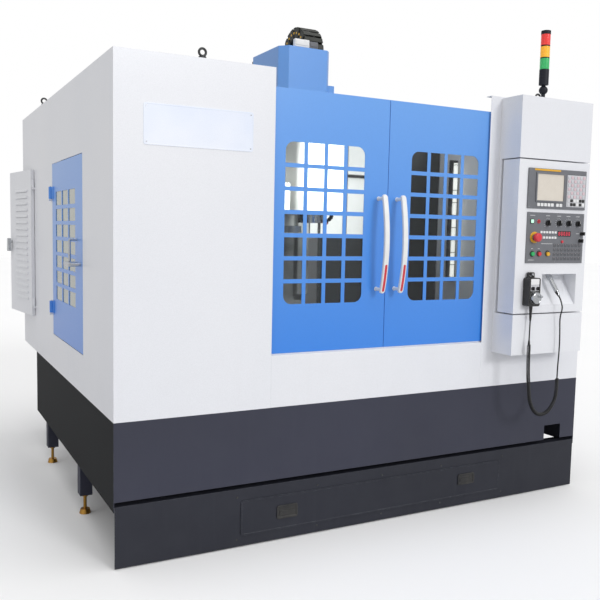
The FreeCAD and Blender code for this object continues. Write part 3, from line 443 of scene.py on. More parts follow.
def enamel(name, colour, deep, rough, amount=0.35, patch=1.2, coat=0.25, grain=600, bump=0.08, wearAndGlint=0.35,
           wearAndGlintTone="9aa0a6", dust=0.12, dustTone="8d867a", dustHeight=0.9, lower=None, blend=(0.8, 2.0), shine=0.5):
    finish, tree, shader, where = newFinish(name)
    main = tone(colour)
    if lower:  # a second colour below, fading or ending sharply between two heights
        level = addNode(tree, "ShaderNodeSeparateXYZ", {0: where}).outputs["Z"]
        main = mixColour(tree, ramp(tree, level, blend[0], blend[1]), tone(lower), tone(colour))
    drift = useGroup(tree, paintDrift, {"Vector": where, "Colour": main, "Deep": tone(deep), "Amount": amount,
                                        "Size": patch})
    # Edges take the edge tone: bare spots, and painted highlights where edges would catch the light.
    wornAndGlinting = useGroup(tree, edgeWearAndGlint, {"Vector": where, "Amount": wearAndGlint})
    dusty = useGroup(tree, shopDust, {"Vector": where, "High": dustHeight, "Amount": dust})
    skin = useGroup(tree, skinGrain, {"Vector": where, "Fineness": float(grain), "Ripple": 1.2})
    painted = mixColour(tree, dusty["Mask"], drift["Colour"], tone(dustTone))
    shown = mixColour(tree, wornAndGlinting["Mask"], painted, tone(wearAndGlintTone))
    roughness = addNode(tree, "ShaderNodeMath", {0: multiply(tree, dusty["Mask"], 0.6), 1: rough},
                        operation="ADD").outputs[0]
    lay(tree, shader, shown, roughness, skin["Height"], bump, 0.0012)
    shader.inputs["Coat Weight"].default_value = coat
    shader.inputs["Coat Roughness"].default_value = 0.18
    shader.inputs["Specular IOR Level"].default_value = shine
    return finish


def bareMetal(name, colour, deep, rough, stretch=(40, 900, 900), bump=0.12, wearAndGlint=0.4):
    finish, tree, shader, where = newFinish(name)
    lined = useGroup(tree, toolMarks, {"Vector": where, "Stretch": stretch})
    # Edges turn bright: rubbed metal with painted glints along them.
    wornAndGlinting = useGroup(tree, edgeWearAndGlint, {"Vector": where, "Width": 0.001, "Amount": wearAndGlint})
    body = mixColour(tree, lined["Shade"], tone(colour), tone(deep))
    shown = mixColour(tree, wornAndGlinting["Mask"], body, tone("e8e8e6"))
    lay(tree, shader, shown, ramp(tree, lined["Shade"], 0, 1, rough, rough + 0.14), lined["Height"], bump, 0.0004)
    shader.inputs["Metallic"].default_value = 1
    return finish


def moulded(name, colour, deep, rough, grain=1400, bump=0.12, coat=0.0, wearAndGlint=0.25, dust=0.1):
    finish, tree, shader, where = newFinish(name)
    drift = useGroup(tree, paintDrift, {"Vector": where, "Colour": tone(colour), "Deep": tone(deep), "Amount": 0.4,
                                        "Size": 22.0})
    # Edges turn paler: rubbed plastic with painted highlights along them.
    wornAndGlinting = useGroup(tree, edgeWearAndGlint, {"Vector": where, "Width": 0.0007, "Amount": wearAndGlint})
    dusty = useGroup(tree, shopDust, {"Vector": where, "High": 2.4, "Amount": dust})
    skin = useGroup(tree, skinGrain, {"Vector": where, "Fineness": float(grain), "Ripple": 0.2})
    rubbedAndGlinting = mixColour(tree, wornAndGlinting["Mask"], drift["Colour"], tone("b9bbbd"))
    lay(tree, shader, mixColour(tree, dusty["Mask"], rubbedAndGlinting, tone("a39d92")),
        ramp(tree, drift["Shade"], 0, 1, rough, rough + 0.1), skin["Height"], bump, 0.0004)
    shader.inputs["Coat Weight"].default_value = coat
    return finish


def lit(name, colour, deep, strength):
    finish = moulded(name, colour, deep, 0.18, 900, 0.05, 0.6, 0.0, 0.05)
    shader = finish.node_tree.nodes["Principled BSDF"]
    tree = finish.node_tree
    where = addNode(tree, "ShaderNodeTexCoord").outputs["Object"]
    glow = mixColour(tree, noise(tree, where, 60, 2), tone(colour), tone(deep))
    tree.links.new(glow, shader.inputs["Emission Color"])
    shader.inputs["Emission Strength"].default_value = strength
    return finish


def clear(name, colour, rough):
    finish, tree, shader, where = newFinish(name)
    smear = ramp(tree, noise(tree, where, 9, 4, 0.6), 0.4, 0.7, rough, rough + 0.05)
    tint = mixColour(tree, noise(tree, where, 3), tone(colour), tone("ffffff"))
    lay(tree, shader, tint, smear)
    shader.inputs["Transmission Weight"].default_value = 1
    shader.inputs["IOR"].default_value = 1.3
    return finish


finishes = {
    "white_sheet": enamel("white_enamel", "e9eaee", "dcdfe6", 0.34, dust=0.10),
    # The blue darkens towards the bottom of the doors: painted shade of how the light falls on them. Its pale blue edge
    # tone is a painted highlight.
    "blue_sheet": enamel("blue_enamel", "69a3ea", "4c8fe6", 0.30, 0.25, 0.8, coat=0.4, dust=0.04, wearAndGlintTone="a9c8ee",
                         lower="2b80e0"),
    "black_sheet": enamel("black_enamel", "353747", "2d2f3c", 0.52, 0.6, coat=0, shine=0.4, grain=900, bump=0.2,
                          wearAndGlint=0.4, dust=0.07, dustTone="66666c"),
    "grey_sheet": enamel("dark_grey_enamel", "1a1d26", "161820", 0.5, 0.6, coat=0, shine=0.3, grain=900, bump=0.16,
                         wearAndGlint=0.4, dust=0.07, dustTone="62646a"),
    # The lining's dark grey is painted shade, standing in for the dim light inside the chamber.
    "lining_sheet": enamel("lining_enamel", "2c3033", "24272a", 0.5, 0.7, 3.0, coat=0.1, dust=0.25, dustTone="5a564f",
                           dustHeight=1.6),
    "casting": enamel("casting_enamel", "dfe0dc", "cbcdc8", 0.5, 0.5, 5.0, coat=0.1, grain=160, bump=0.5, dust=0.3,
                      dustTone="7a7468", dustHeight=1.4, lower="45494c", blend=(1.384, 1.388)),
    "motor_black": enamel("motor_enamel", "1d1f22", "141517", 0.45, 0.4, 6.0, grain=700, bump=0.2),
    "ground_steel": bareMetal("ground_steel", "b4b7ba", "8f9397", 0.28),
    "bright_steel": bareMetal("bright_steel", "d6d8da", "b3b6b9", 0.14, (300, 300, 900), 0.05),
    "brass_foot": bareMetal("brass_foot", "c79a4f", "a67b36", 0.3, (500, 500, 60), 0.1),
    "pane": clear("window_pane", "e8f1f0", 0.02),
    "white_plastic": moulded("white_plastic", "eceded", "dfe0e0", 0.38),
    "black_plastic": moulded("black_plastic", "17181a", "222326", 0.42),
    "panel_grey": moulded("panel_grey", "6e7076", "64666b", 0.5, 1800, 0.2),
    "red_plastic": moulded("red_plastic", "d8283a", "c11f31", 0.3, coat=0.3),
    "green_plastic": lit("green_plastic", "19a85c", "0f8e4b", 0.25),
    "yellow_plastic": moulded("yellow_plastic", "e9b226", "d79f18", 0.35, coat=0.2),
    "lens_plastic": lit("lens_plastic", "f4f4f0", "e6e6df", 0.1),
    "cord_rubber": moulded("cord_rubber", "101113", "18191b", 0.38, 2600, 0.15, dust=0.02, wearAndGlint=0.0),
}
sidePane = moulded("side_pane", "a6aa99", "969b89", 0.12, 700, 0.05, 0.6, 0.0, 0.15)
tankBlack = enamel("tank_enamel", "262832", "20222a", 0.5, 0.6, coat=0, shine=0.35, grain=900, bump=0.16, wearAndGlint=0.4,
                   dust=0.07, dustTone="5e5f66")
# A darker, more matte black for the skirt's left side faces: the darker colour is painted shade on the side turned from
# the key light.
shadedSideBlack = enamel("shaded_side_black_enamel", "16181a", "101213", 0.7, 0.6, coat=0, shine=0.2, grain=900, bump=0.2, wearAndGlint=0.3,
                   dust=0.05, dustTone="4c4d4c")
tintPlate = enamel("plate_enamel", "eef2fb", "dde6f8", 0.25, 0.8, 4.0, wearAndGlint=0.1, dust=0.03)
keyGrey = moulded("key_grey", "cfd0d4", "bdbfc4", 0.45, 1600)
keyPink = moulded("key_pink", "d9c3c9", "c9b1b8", 0.45, 1600)
greenLens = lit("green_lens", "2fae62", "1b8f49", 0.35)
yellowLens = lit("yellow_lens", "f2b42c", "e39a14", 0.35)
redLens = lit("red_lens", "e2342f", "c72320", 0.35)
litDigits = lit("lit_digits", "f0405a", "d82c46", 1.0)
screenGlow = lit("screen_glow", "cfc8bd", "c6beb2", 0.16)
chainPlastic = moulded("chain_plastic", "23261f", "191b17", 0.45, 900, 0.2)

for row in frame["record"]["subparts"]:
    piece = nodes[row["node"]]
    for place in piece.material_slots:
        place.material = sidePane if row["node"] == "side_window" else finishes[row["material_slot"]]
# The floor is pale to look at and sends back less light than it shows.
floorPaint, tree, shader, where = newFinish("studio_floor")
cloudy = mixColour(tree, noise(tree, where, 0.4, 2), tone("f4f4f4"), tone("f0f0f1"))
seen = addNode(tree, "ShaderNodeLightPath").outputs["Is Camera Ray"]
lay(tree, shader, mixColour(tree, seen, tone(studio["floorReturn"]), cloudy), 0.8)
floor.data.materials.append(floorPaint)
print("finishes laid on", len(nodes), "nodes")


# The pendant's cord.
leadRoute = [(2.064, -0.1685, 1.002), (2.064, -0.1685, 0.962), (2.058, -0.1735, 0.902), (2.058, -0.1735, 0.854)]
curlRoute = [(2.058, -0.1735, 0.854), (2.058, -0.1735, 0.744), (2.067, -0.1765, 0.634), (2.080, -0.1755, 0.554),
             (2.134, -0.1715, 0.486), (2.208, -0.1705, 0.488), (2.258, -0.1725, 0.548), (2.266, -0.1735, 0.608),
             (2.266, -0.1735, 0.668)]
plugRoute = [(2.266, -0.1735, 0.668), (2.266, -0.1735, 0.728), (2.273, -0.1725, 0.818), (2.272, -0.1715, 0.908),
             (2.264, -0.1725, 0.988), (2.26338, -0.19006, 1.0348), (2.25838, -0.18106, 1.0768),
             (2.25599, -0.16814, 1.09689)]
cordSizes = {"lead": 0.007, "curl": 0.020, "wire": 0.0046, "pitch": 0.0056, "turnSteps": 18}


def splineThrough(name, points, thickness):
    line = bpy.data.curves.new(name, "CURVE")
    line.dimensions = "3D"
    line.bevel_depth = thickness / 2
    line.bevel_resolution = 5
    line.use_fill_caps = True
    line.resolution_u = 16
    spline = line.splines.new("NURBS")
    spline.points.add(len(points) - 1)
    for point, place in zip(spline.points, points):
        point.co = (*at(*place), 1)
    spline.order_u = 3
    spline.use_endpoint_u = True
    obj = bpy.data.objects.new(name, line)
    bpy.context.scene.collection.objects.link(obj)
    return obj


def lineOf(route, name):
    guide = splineThrough(name, route, 0)
    found = bpy.data.meshes.new_from_object(guide)
    line = [v.co.copy() for v in found.vertices]
    bpy.data.objects.remove(guide)
    return line


def curled(name, line, sizes):
    steps, ahead = [], Vector((1, 0, 0))
    turned, radius = 0.0, (sizes["curl"] - sizes["wire"]) / 2
    for start, end in zip(line, line[1:]):
        run = end - start
        count = max(1, math.ceil(run.length / sizes["pitch"] * sizes["turnSteps"]))
        for i in range(count):
            along = run.normalized()
            ahead = (ahead - along * ahead.dot(along)).normalized()
            aside = along.cross(ahead)
            place = start + run * (i / count)
            steps.append(place + (ahead * math.cos(turned) + aside * math.sin(turned)) * radius)
            turned += 2 * math.pi * run.length / count / sizes["pitch"]
    wire = bpy.data.curves.new(name, "CURVE")
    wire.dimensions = "3D"
    wire.bevel_depth = sizes["wire"] / 2
    wire.bevel_resolution = 1
    wire.use_fill_caps = True
    spline = wire.splines.new("POLY")
    spline.points.add(len(steps) - 1)
    for point, place in zip(spline.points, steps):
        point.co = (*place, 1)
    guide = bpy.data.objects.new(name + "_guide", wire)
    bpy.context.scene.collection.objects.link(guide)
    obj = bpy.data.objects.new(name, bpy.data.meshes.new_from_object(guide))
    bpy.data.objects.remove(guide)
    bpy.context.scene.collection.objects.link(obj)
    return smooth(obj, 60)


def lengthOf(line):
    return sum((b - a).length for a, b in zip(line, line[1:]))


leadLine, curlLine, plugLine = (lineOf(r, "guide") for r in (leadRoute, curlRoute, plugRoute))
pendantLead = splineThrough("pendant_lead", leadRoute, cordSizes["lead"])
plugLead = splineThrough("plug_lead", plugRoute, cordSizes["lead"])
curlyCord = curled("curly_cord", curlLine, cordSizes)
for piece, node in ((pendantLead, "cord_pendant_lead"), (curlyCord, "cord_curl"), (plugLead, "cord_plug_lead")):
    finishPiece(piece, "control_box", finishes["cord_rubber"], [node])
print("cord laid", round(lengthOf(leadLine), 4), round(lengthOf(curlLine), 4), round(lengthOf(plugLine), 4))

# Tapered sleeves where the lead leaves the pendant and enters the curl.
sleeve = {"length": 0.024, "wide": 0.0062, "slim": 0.0042, "rings": 4}


def addSleeve(name, top, towards):
    top = at(*top)
    end = top + Vector(towards).normalized() * sleeve["length"]
    parts = [addRod(name, top, end, sleeve["wide"], 24, sleeve["slim"])]
    for i in range(sleeve["rings"]):
        t = (i + 0.5) / sleeve["rings"]
        wide = sleeve["wide"] + (sleeve["slim"] - sleeve["wide"]) * t
        ring = addRod(name, top.lerp(end, t - 0.06), top.lerp(end, t + 0.06), wide + 0.0008, 24)
        parts.append(ring)
    return smooth(joined(name, parts))


finishPiece(addSleeve("pendant_sleeve", leadRoute[0], (0, 0, -1)), "control_box",
            finishes["cord_rubber"])
for name, top, towards in (("curl_start", curlRoute[0], (0, 0, -1)), ("curl_end", curlRoute[-1], (0, 0, 1))):
    finishPiece(addSleeve(name, top, [-t for t in towards]), "control_box", finishes["cord_rubber"])

print("cord sleeves done")


# Sheet and casting edges.
bodyOf = {node: body for body, held in frame["record"]["behaviour"]["bodies"].items() for node in held}
slotOf = {row["node"]: row["material_slot"] for row in frame["record"]["subparts"]}
edgeRadii = {"left_enclosure": 0.0012, "right_enclosure": 0.0012, "front_sill": 0.0012, "rear_wall": 0.0012,
             "electrical_cabinet": 0.0012, "base_skirt": 0.0012, "pod_frame": 0.0012, "control_box": 0.0012,
             "coolant_tank": 0.0012, "left_door": 0.0012, "right_door": 0.0012, "side_door": 0.0010,
             "cabinet_door": 0.0008, "head_cover": 0.0012,
             "spindle_head": 0.006, "column": 0.008, "saddle": 0.004, "table": 0.0015, "display_unit": 0.003,
             "pendant": 0.002, "tower_light": 0.0008, "support_legs": 0.003, "spindle_motor": 0.004,
             "operator_panel": 0.0008, "handwheel": 0.0012, "pendant_plug": 0.0008}
shells = {}
for node, radius in edgeRadii.items():
    shells[node] = softCopy(node, radius, 2 if radius < 0.002 else 3)
    finishPiece(shells[node], bodyOf[node], finishes[slotOf[node]], [node])
for node, radius in (("cabinet_handle", 0.002), ("side_latch", 0.002)):
    finishPiece(softCopy(node, radius, 3), bodyOf[node], finishes["bright_steel"], [node])


def secondFinish(obj, look, low, high):
    obj.data.materials.append(look)
    low, high = at(*low), at(*high)
    for face in obj.data.polygons:
        if all(low[i] <= face.center[i] <= high[i] for i in range(3)):
            face.material_index = 1


shells["coolant_tank"].data.materials[0] = tankBlack
secondFinish(shells["side_door"], finishes["bright_steel"], (-0.06, 0.65, 1.22), (-0.004, 0.72, 1.36))
secondFinish(shells["pendant_plug"], finishes["black_plastic"], (2.2, -0.2, 1.09), (2.3, -0.1, 1.1165))
# The skirt's left side faces get the darker black: painted shade.
secondFinish(shells["base_skirt"], shadedSideBlack, (-0.01, 0.02, 0), (0.02, 1.95, 0.7))
print("edges softened on", len(edgeRadii), "nodes")


def roundAlong(obj, axis, radius, segments=6):
    pick(obj)
    bpy.ops.object.mode_set(mode="EDIT")
    bpy.ops.mesh.select_mode(type="EDGE")
    bpy.ops.mesh.select_all(action="DESELECT")
    bpy.ops.object.mode_set(mode="OBJECT")
    mesh = obj.data
    for edge in mesh.edges:
        run = (mesh.vertices[edge.vertices[1]].co - mesh.vertices[edge.vertices[0]].co).normalized()
        edge.select = abs(run["XYZ".index(axis)]) > 0.999
    bpy.ops.object.mode_set(mode="EDIT")
    bpy.ops.mesh.bevel(offset=radius, segments=segments, affect="EDGES")
    bpy.ops.object.mode_set(mode="OBJECT")
    return obj


def frontFace(obj):
    front = min(v.co.y for v in obj.data.vertices)
    return lambda face: face.normal.y < -0.99 and abs(face.center.y - front) < 0.0001


def plateOn(name, xs, face, zs, proud, corner=0.004, edge=0.0006, segments=5):
    return soften(roundAlong(slab(name, xs, (face - proud, face), zs), "Y", corner, segments), edge, 2)


def add(obj, body, slotName, look=None, replaced=()):
    return finishPiece(obj, body, look or finishes[slotName], replaced)


def screws(name, places, face, radius=0.0032):
    heads = []
    first = addRod(name, at(0, 0.0002, 0), at(0, -0.0016, 0), radius, 20, radius * 0.86)
    socket = addRod("socket", at(0, -0.0008, 0), at(0, -0.004, 0), radius * 0.45, 6)
    first = smooth(cutWith(first, socket))
    for x, z in places:
        heads.append(copyMoved(first, (x, face, z)))
    bpy.data.objects.remove(first)
    return joined(name, heads)


# Bare name plate on the left panel.
namePlate = {"x": (0.120, 0.596), "z": (1.735, 1.900), "proud": 0.0018, "corner": 0.010, "border": 0.005,
             "inset": 0.012}
plate = slab("name_plate", namePlate["x"], (-namePlate["proud"], 0), namePlate["z"])
roundAlong(plate, "Y", namePlate["corner"])
insetPanel(plate, frontFace(plate), namePlate["border"], -0.0004)
add(soften(plate, 0.0003, 2, 20), "machine", "white_plastic", tintPlate)
near = namePlate["inset"]
add(screws("plate_rivets", [(x, z) for x in (namePlate["x"][0] + near, namePlate["x"][1] - near)
                            for z in (namePlate["z"][0] + near, namePlate["z"][1] - near)], -namePlate["proud"],
           0.0026),
    "machine", "bright_steel")

# Door handles: bowed bars with round ends, red inlays, two posts.
handle = {"wide": 0.026, "thick": 0.015, "barFront": -0.046, "bow": 0.030, "low": 1.121, "long": 0.460, "edge": 0.0035,
          "inlayHalf": 0.0060, "inlayZ": (1.130, 1.257), "postIn": 0.018, "post": 0.008, "doorPlane": 0.012, "cuts": 30}


def bowOut(obj, low, high, cuts):
    pick(obj)
    for i in range(1, cuts):
        bpy.ops.object.mode_set(mode="EDIT")
        bpy.ops.mesh.select_all(action="SELECT")
        bpy.ops.mesh.bisect(plane_co=at(0, 0, low + (high - low) * i / cuts), plane_no=(0, 0, 1))
        bpy.ops.object.mode_set(mode="OBJECT")
    for vertex in obj.data.vertices:
        t = (vertex.co.z - handle["low"]) / handle["long"]
        vertex.co.y -= handle["bow"] * (1 - (2 * t - 1) ** 2)
    return obj


for side, x in (("left", 1.248), ("right", 1.352)):
    half, top = handle["wide"] / 2, handle["low"] + handle["long"]
    bar = slab(side + "_handle_bar", (x - half, x + half), (handle["barFront"], handle["barFront"] + handle["thick"]),
               (handle["low"], top))
    roundAlong(bar, "Y", half * 0.97, 10)
    bar = smooth(soften(bowOut(bar, handle["low"], top, handle["cuts"]), handle["edge"], 4, 40), 50)
    posts = [bar]
    for z in (handle["low"] + handle["postIn"], top - handle["postIn"]):
        rod = addRod("post", at(x, handle["doorPlane"], z), at(x, handle["barFront"] + 0.006, z), handle["post"], 32)
        flange = addRod("flange", at(x, handle["doorPlane"], z), at(x, handle["doorPlane"] - 0.003, z), 0.0100, 32)
        posts += [soften(rod, 0.001, 2), soften(flange, 0.001, 2)]
    add(joined(side + "_handle_bar", posts), side + "_door", slotOf[side + "_handle"], None, [side + "_handle"])
    strip = slab(side + "_handle_inlay", (x - handle["inlayHalf"], x + handle["inlayHalf"]),
                 (handle["barFront"] - 0.0010, handle["barFront"] + 0.002), handle["inlayZ"])
    roundAlong(strip, "Y", handle["inlayHalf"] * 0.96, 6)
    add(smooth(bowOut(strip, *handle["inlayZ"], 12), 40), side + "_door", "red_plastic")
print("plate and handles done")


# Display and keypad unit.
display = {"face": -0.152, "screenX": (2.083, 2.265), "screenZ": (1.583, 1.715), "rim": 0.009, "stripX": (2.063, 2.241),
           "stripZ": (1.7305, 1.7395), "softX": 2.0965, "softPitch": 0.0235, "softGap": 0.012, "softZ": 1.562,
           "padX": (2.290, 2.421), "padZ": (1.556, 1.718), "padColumns": 6, "padRows": 8}
rim = plateOn("screen_rim", (display["screenX"][0] - display["rim"], display["screenX"][1] + display["rim"]),
              display["face"],
              (display["screenZ"][0] - display["rim"], display["screenZ"][1] + display["rim"]), 0.0045, 0.006, 0.0010)
cutWith(rim, slab("opening", display["screenX"], (display["face"] - 0.01, display["face"] + 0.01), display["screenZ"]))
add(smooth(rim), "control_box", "panel_grey")
screen = slab("screen", display["screenX"], (display["face"] - 0.0012, display["face"]), display["screenZ"])
insetPanel(screen, frontFace(screen), 0.003, -0.0004)
add(screen, "control_box", "white_plastic", screenGlow)
add(plateOn("display_strip", display["stripX"], display["face"], display["stripZ"], 0.0012, 0.002, 0.0004),
    "control_box", "yellow_plastic")


def keyAt(name, x, z, wide, high, face, proud=0.0035, edge=0.0009):
    key = slab(name, (x - wide / 2, x + wide / 2), (face - proud, face), (z - high / 2, z + high / 2))
    return soften(roundAlong(key, "Y", min(wide, high) * 0.18, 3), edge, 2)


def keyField(name, key, places):
    field = [copyMoved(key, place) for place in places]
    return joined(name, field)


softKey = keyAt("soft_key", 0, 0, 0.0185, 0.0165, display["face"])
softPlaces = [(display["softX"] + display["softPitch"] * i + (display["softGap"] if i > 4 else 0), 0, display["softZ"])
              for i in range(7)]
add(keyField("soft_keys", softKey, softPlaces), "control_box", "white_plastic")
bpy.data.objects.remove(softKey)
add(plateOn("keypad_plate", display["padX"], display["face"], display["padZ"], 0.0010, 0.003, 0.0004), "control_box",
    "panel_grey", keyGrey)
padFace = display["face"] - 0.0010
padWide = (display["padX"][1] - display["padX"][0]) / (display["padColumns"] + 0.3)
padHigh = (display["padZ"][1] - display["padZ"][0]) / (display["padRows"] + 0.3)
padKey = keyAt("pad_key", 0, 0, padWide * 0.80, padHigh * 0.76, padFace, 0.0028, 0.0007)
padLooks = {"grey": [], "pink": [], "black": [], "white": []}
for row in range(display["padRows"]):
    for column in range(display["padColumns"]):
        place = (display["padX"][0] + padWide * (column + 0.65), 0, display["padZ"][1] - padHigh * (row + 0.65))
        kind = "pink" if (row + column) % 2 and row < 6 else "grey"
        if row >= 6 and column >= 1:
            kind = "white" if (row, column) in ((6, 2), (6, 3), (7, 3), (7, 5)) else "black"
        padLooks[kind].append(place)
for kind, look in (("grey", keyGrey), ("pink", keyPink), ("black", finishes["black_plastic"]),
                   ("white", finishes["white_plastic"])):
    add(keyField("pad_keys_" + kind, padKey, padLooks[kind]), "control_box", "white_plastic", look)
bpy.data.objects.remove(padKey)
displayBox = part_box("display_unit")
edgeIn = 0.008
add(screws("display_screws", [(displayBox[0].x - corner.x + edgeIn, z) for z in (1.550, 1.734)]
           + [(displayBox[1].x - corner.x - edgeIn, z) for z in (1.550, 1.734)], display["face"]), "control_box",
    "bright_steel")
print("display done")

# Operator panel.
desk = {"face": -0.149, "knobs": (2.170, 2.248, 2.314, 2.381), "knobZ": 1.471, "tickRing": 0.0215, "ticks": 11,
        "lampX": 2.063, "markX": 2.108, "lampZ": 1.4775, "stopX": 2.083, "stopZ": 1.397, "stopRing": 0.0285,
        "keyX": (2.129, 0.0195), "keyZ": (1.424, 1.397), "digitX": (2.254, 0.0175), "digitZ": 1.418,
        "membraneX": (2.226, 0.0252), "membraneZ": (1.290, 0.0225)}
face = desk["face"]


def ticksRound(name, x, z, radius, count, start, sweep, size, faceY, proud=0.0005):
    marks = []
    first = slab("tick", (-size[0] / 2, size[0] / 2), (-proud, 0.0001), (0, size[1]))
    soften(first, proud * 0.3, 1)
    for i in range(count):
        turn = math.radians(start + sweep * i / max(1, count - 1))
        marks.append(copyTurned(first, Matrix.Translation(-corner), Matrix.Translation((0, 0, radius)),
                                Matrix.Rotation(turn, 4, "Y"), Matrix.Translation(at(x, faceY, z))))
    bpy.data.objects.remove(first)
    return joined(name, marks)


dials = [ticksRound(f"dial_marks_{i + 1}", x, desk["knobZ"], desk["tickRing"], desk["ticks"], -135, 270,
                    (0.0012, 0.0040), face) for i, x in enumerate(desk["knobs"])]
dials += [ticksRound(f"selector_marks_{i + 1}", x, z, 0.0125, 3, -45, 90, (0.0012, 0.0035), face)
          for i, (x, z) in enumerate(((2.412, 1.420), (2.402, 1.383)))]
dials += [slab("legend", (x - 0.013, x + 0.013), (face - 0.0004, face), (1.5065, 1.5085)) for x in desk["knobs"]]
dials += [slab("legend", (x, x + wide), (face - 0.0004, face), (z, z + 0.0018))
          for x, wide, z in ((2.049, 0.034, 1.5060), (2.066, 0.012, 1.3395), (2.112, 0.012, 1.3395),
                             (2.046, 0.040, 1.2820), (2.133, 0.075, 1.3650), (2.375, 0.020, 1.4190))]
add(joined("panel_marks", dials), "control_box", "white_plastic")

for i, x in enumerate(desk["knobs"]):
    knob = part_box(f"rotary_knob_{i + 1}")
    pointer = addBlock(f"knob_pointer_{i + 1}",
                       (knob[0].x + 0.0130, knob[0].y - 0.0004, (knob[0].z + knob[1].z) / 2 + 0.001),
                       (knob[0].x + 0.0150, knob[0].y + 0.0010, knob[1].z - 0.0015))
    add(soften(pointer, 0.0002, 1), f"rotary_knob_{i + 1}", "white_plastic")

stopRing = addRod("stop_ring", at(desk["stopX"], face + 0.0002, desk["stopZ"]),
                  at(desk["stopX"], face - 0.003, desk["stopZ"]), desk["stopRing"], 48)
cutWith(stopRing, addRod("hole", at(desk["stopX"], face + 0.01, desk["stopZ"]),
                         at(desk["stopX"], face - 0.01, desk["stopZ"]), 0.0155, 32))
add(soften(stopRing, 0.0007, 2), "control_box", "yellow_plastic")

lamp = keyAt("start_lamp", desk["lampX"], desk["lampZ"], 0.018, 0.018, face, 0.005, 0.0012)
add(lamp, "control_box", "green_plastic", lit("lamp_glow", "c9f2dd", "8fe0b4", 0.5))
lampFrame = plateOn("lamp_frame", (desk["lampX"] - 0.012, desk["lampX"] + 0.012), face,
                    (desk["lampZ"] - 0.012, desk["lampZ"] + 0.012), 0.003, 0.002, 0.0005)
add(lampFrame, "control_box", "black_plastic")
markRing = smooth(addRing("stop_mark", at(desk["markX"], face - 0.0015, desk["lampZ"]), 0.0085, 0.0018, "Y", 32, 8))
markBar = softSlab("bar", (desk["markX"] - 0.0018, desk["markX"] + 0.0018), (face - 0.0030, face),
                   (desk["lampZ"] - 0.006, desk["lampZ"] + 0.006), edge=0.0005)
add(joined("stop_mark", [markRing, markBar]), "control_box", "red_plastic")

whiteKey = keyAt("white_key", 0, 0, 0.0145, 0.0115, face, 0.0030)
add(keyField("row_keys", whiteKey,
             [(desk["keyX"][0] + desk["keyX"][1] * i, 0, z) for z in desk["keyZ"] for i in range(6)]),
    "control_box", "white_plastic")
bpy.data.objects.remove(whiteKey)

digitWindow = plateOn("digit_window", (2.243, 2.336), face, (1.404, 1.432), 0.0010, 0.002, 0.0004)
add(digitWindow, "control_box", "black_plastic")
digit = {"wide": 0.0085, "high": 0.017, "bar": 0.0017}
bars = []
for dx, dz, lies in ((0, 1, True), (0, 0, True), (0, -1, True), (-1, 0.5, False), (1, 0.5, False), (-1, -0.5, False),
                     (1, -0.5, False)):
    x, z = dx * digit["wide"] / 2, dz * digit["high"] / 2
    halfX = digit["wide"] / 2 - digit["bar"] * 0.7 if lies else digit["bar"] / 2
    halfZ = digit["bar"] / 2 if lies else digit["high"] / 4 - digit["bar"] * 0.7
    bars.append(slab("bar", (x - halfX, x + halfX), (face - 0.0014, face - 0.0008), (z - halfZ, z + halfZ)))
oneDigit = joined("one_digit", bars)
add(keyField("digits", oneDigit, [(desk["digitX"][0] + desk["digitX"][1] * i, 0, desk["digitZ"]) for i in range(5)]),
    "control_box", "red_plastic", litDigits)
bpy.data.objects.remove(oneDigit)

redCap = addRod("reset_cap", at(2.276, face, 1.377), at(2.276, face - 0.006, 1.377), 0.0075, 32, 0.0068)
add(soften(redCap, 0.0012, 3), "control_box", "red_plastic")
for name, x, z in (("start", 2.0730, 1.3140), ("stop", 2.1190, 1.3160), ("reset", 2.1770, 1.3170)):
    collar = addRod(name + "_collar", at(x, face + 0.0002, z), at(x, face - 0.0025, z), 0.0150, 40)
    cutWith(collar, addRod("hole", at(x, face + 0.01, z), at(x, face - 0.01, z), 0.0108, 32))
    add(soften(collar, 0.0006, 2), "control_box", "black_plastic")

flushKey = keyAt("flush_key", 0, 0, 0.0195, 0.0165, face, 0.0007, 0.0003)
places = [(desk["membraneX"][0] + desk["membraneX"][1] * i, 0, desk["membraneZ"][0] + desk["membraneZ"][1] * j)
          for i in range(8) for j in range(4)]
add(keyField("flush_keys", flushKey, places), "control_box", "panel_grey", moulded("key_film", "54565b", "4a4c51", 0.4))
bpy.data.objects.remove(flushKey)
dot = keyAt("key_dot", 0, 0.0045, 0.0028, 0.0020, face - 0.0007, 0.0003, 0.0001)
add(keyField("key_dots", dot, places), "control_box", "white_plastic", keyPink)
bpy.data.objects.remove(dot)
add(screws("panel_screws", [(x, z) for x in (2.038, 2.229, 2.420) for z in (1.2735, 1.5165)], face, 0.0026),
    "control_box", "bright_steel")
print("operator panel done")

# Access panel and flush pulls on the tank front.
access = {"x": (0.562, 2.060), "z": (0.051, 0.212), "proud": 0.0040, "corner": 0.014, "face": 0.0,
          "pulls": ((0.739, 0.845, 0.101, 0.163), (1.777, 1.884, 0.113, 0.170)), "pullProud": 0.004, "pullRim": 0.007,
          "pullDeep": 0.0034}
door = slab("access_panel", access["x"], (-access["proud"], 0), access["z"])
roundAlong(door, "Y", access["corner"])
insetPanel(door, frontFace(door), 0.007, -0.0012)
add(soften(door, 0.0004, 2, 20), "coolant_tank", "black_sheet", tankBlack)


def flushPull(name, left, right, low, high, proud):
    pull = slab(name, (left, right), (-proud - access["pullProud"], -proud), (low, high))
    roundAlong(pull, "Y", 0.010)
    insetPanel(pull, frontFace(pull), access["pullRim"], -access["pullDeep"])
    tongue = slab("tongue", (left + 0.014, right - 0.014), (-proud - 0.0030, -proud),
                  (low + 0.014, (low + high) / 2 + 0.004))
    return joined(name, [soften(pull, 0.0008, 2), soften(roundAlong(tongue, "Y", 0.004), 0.0008, 2)])


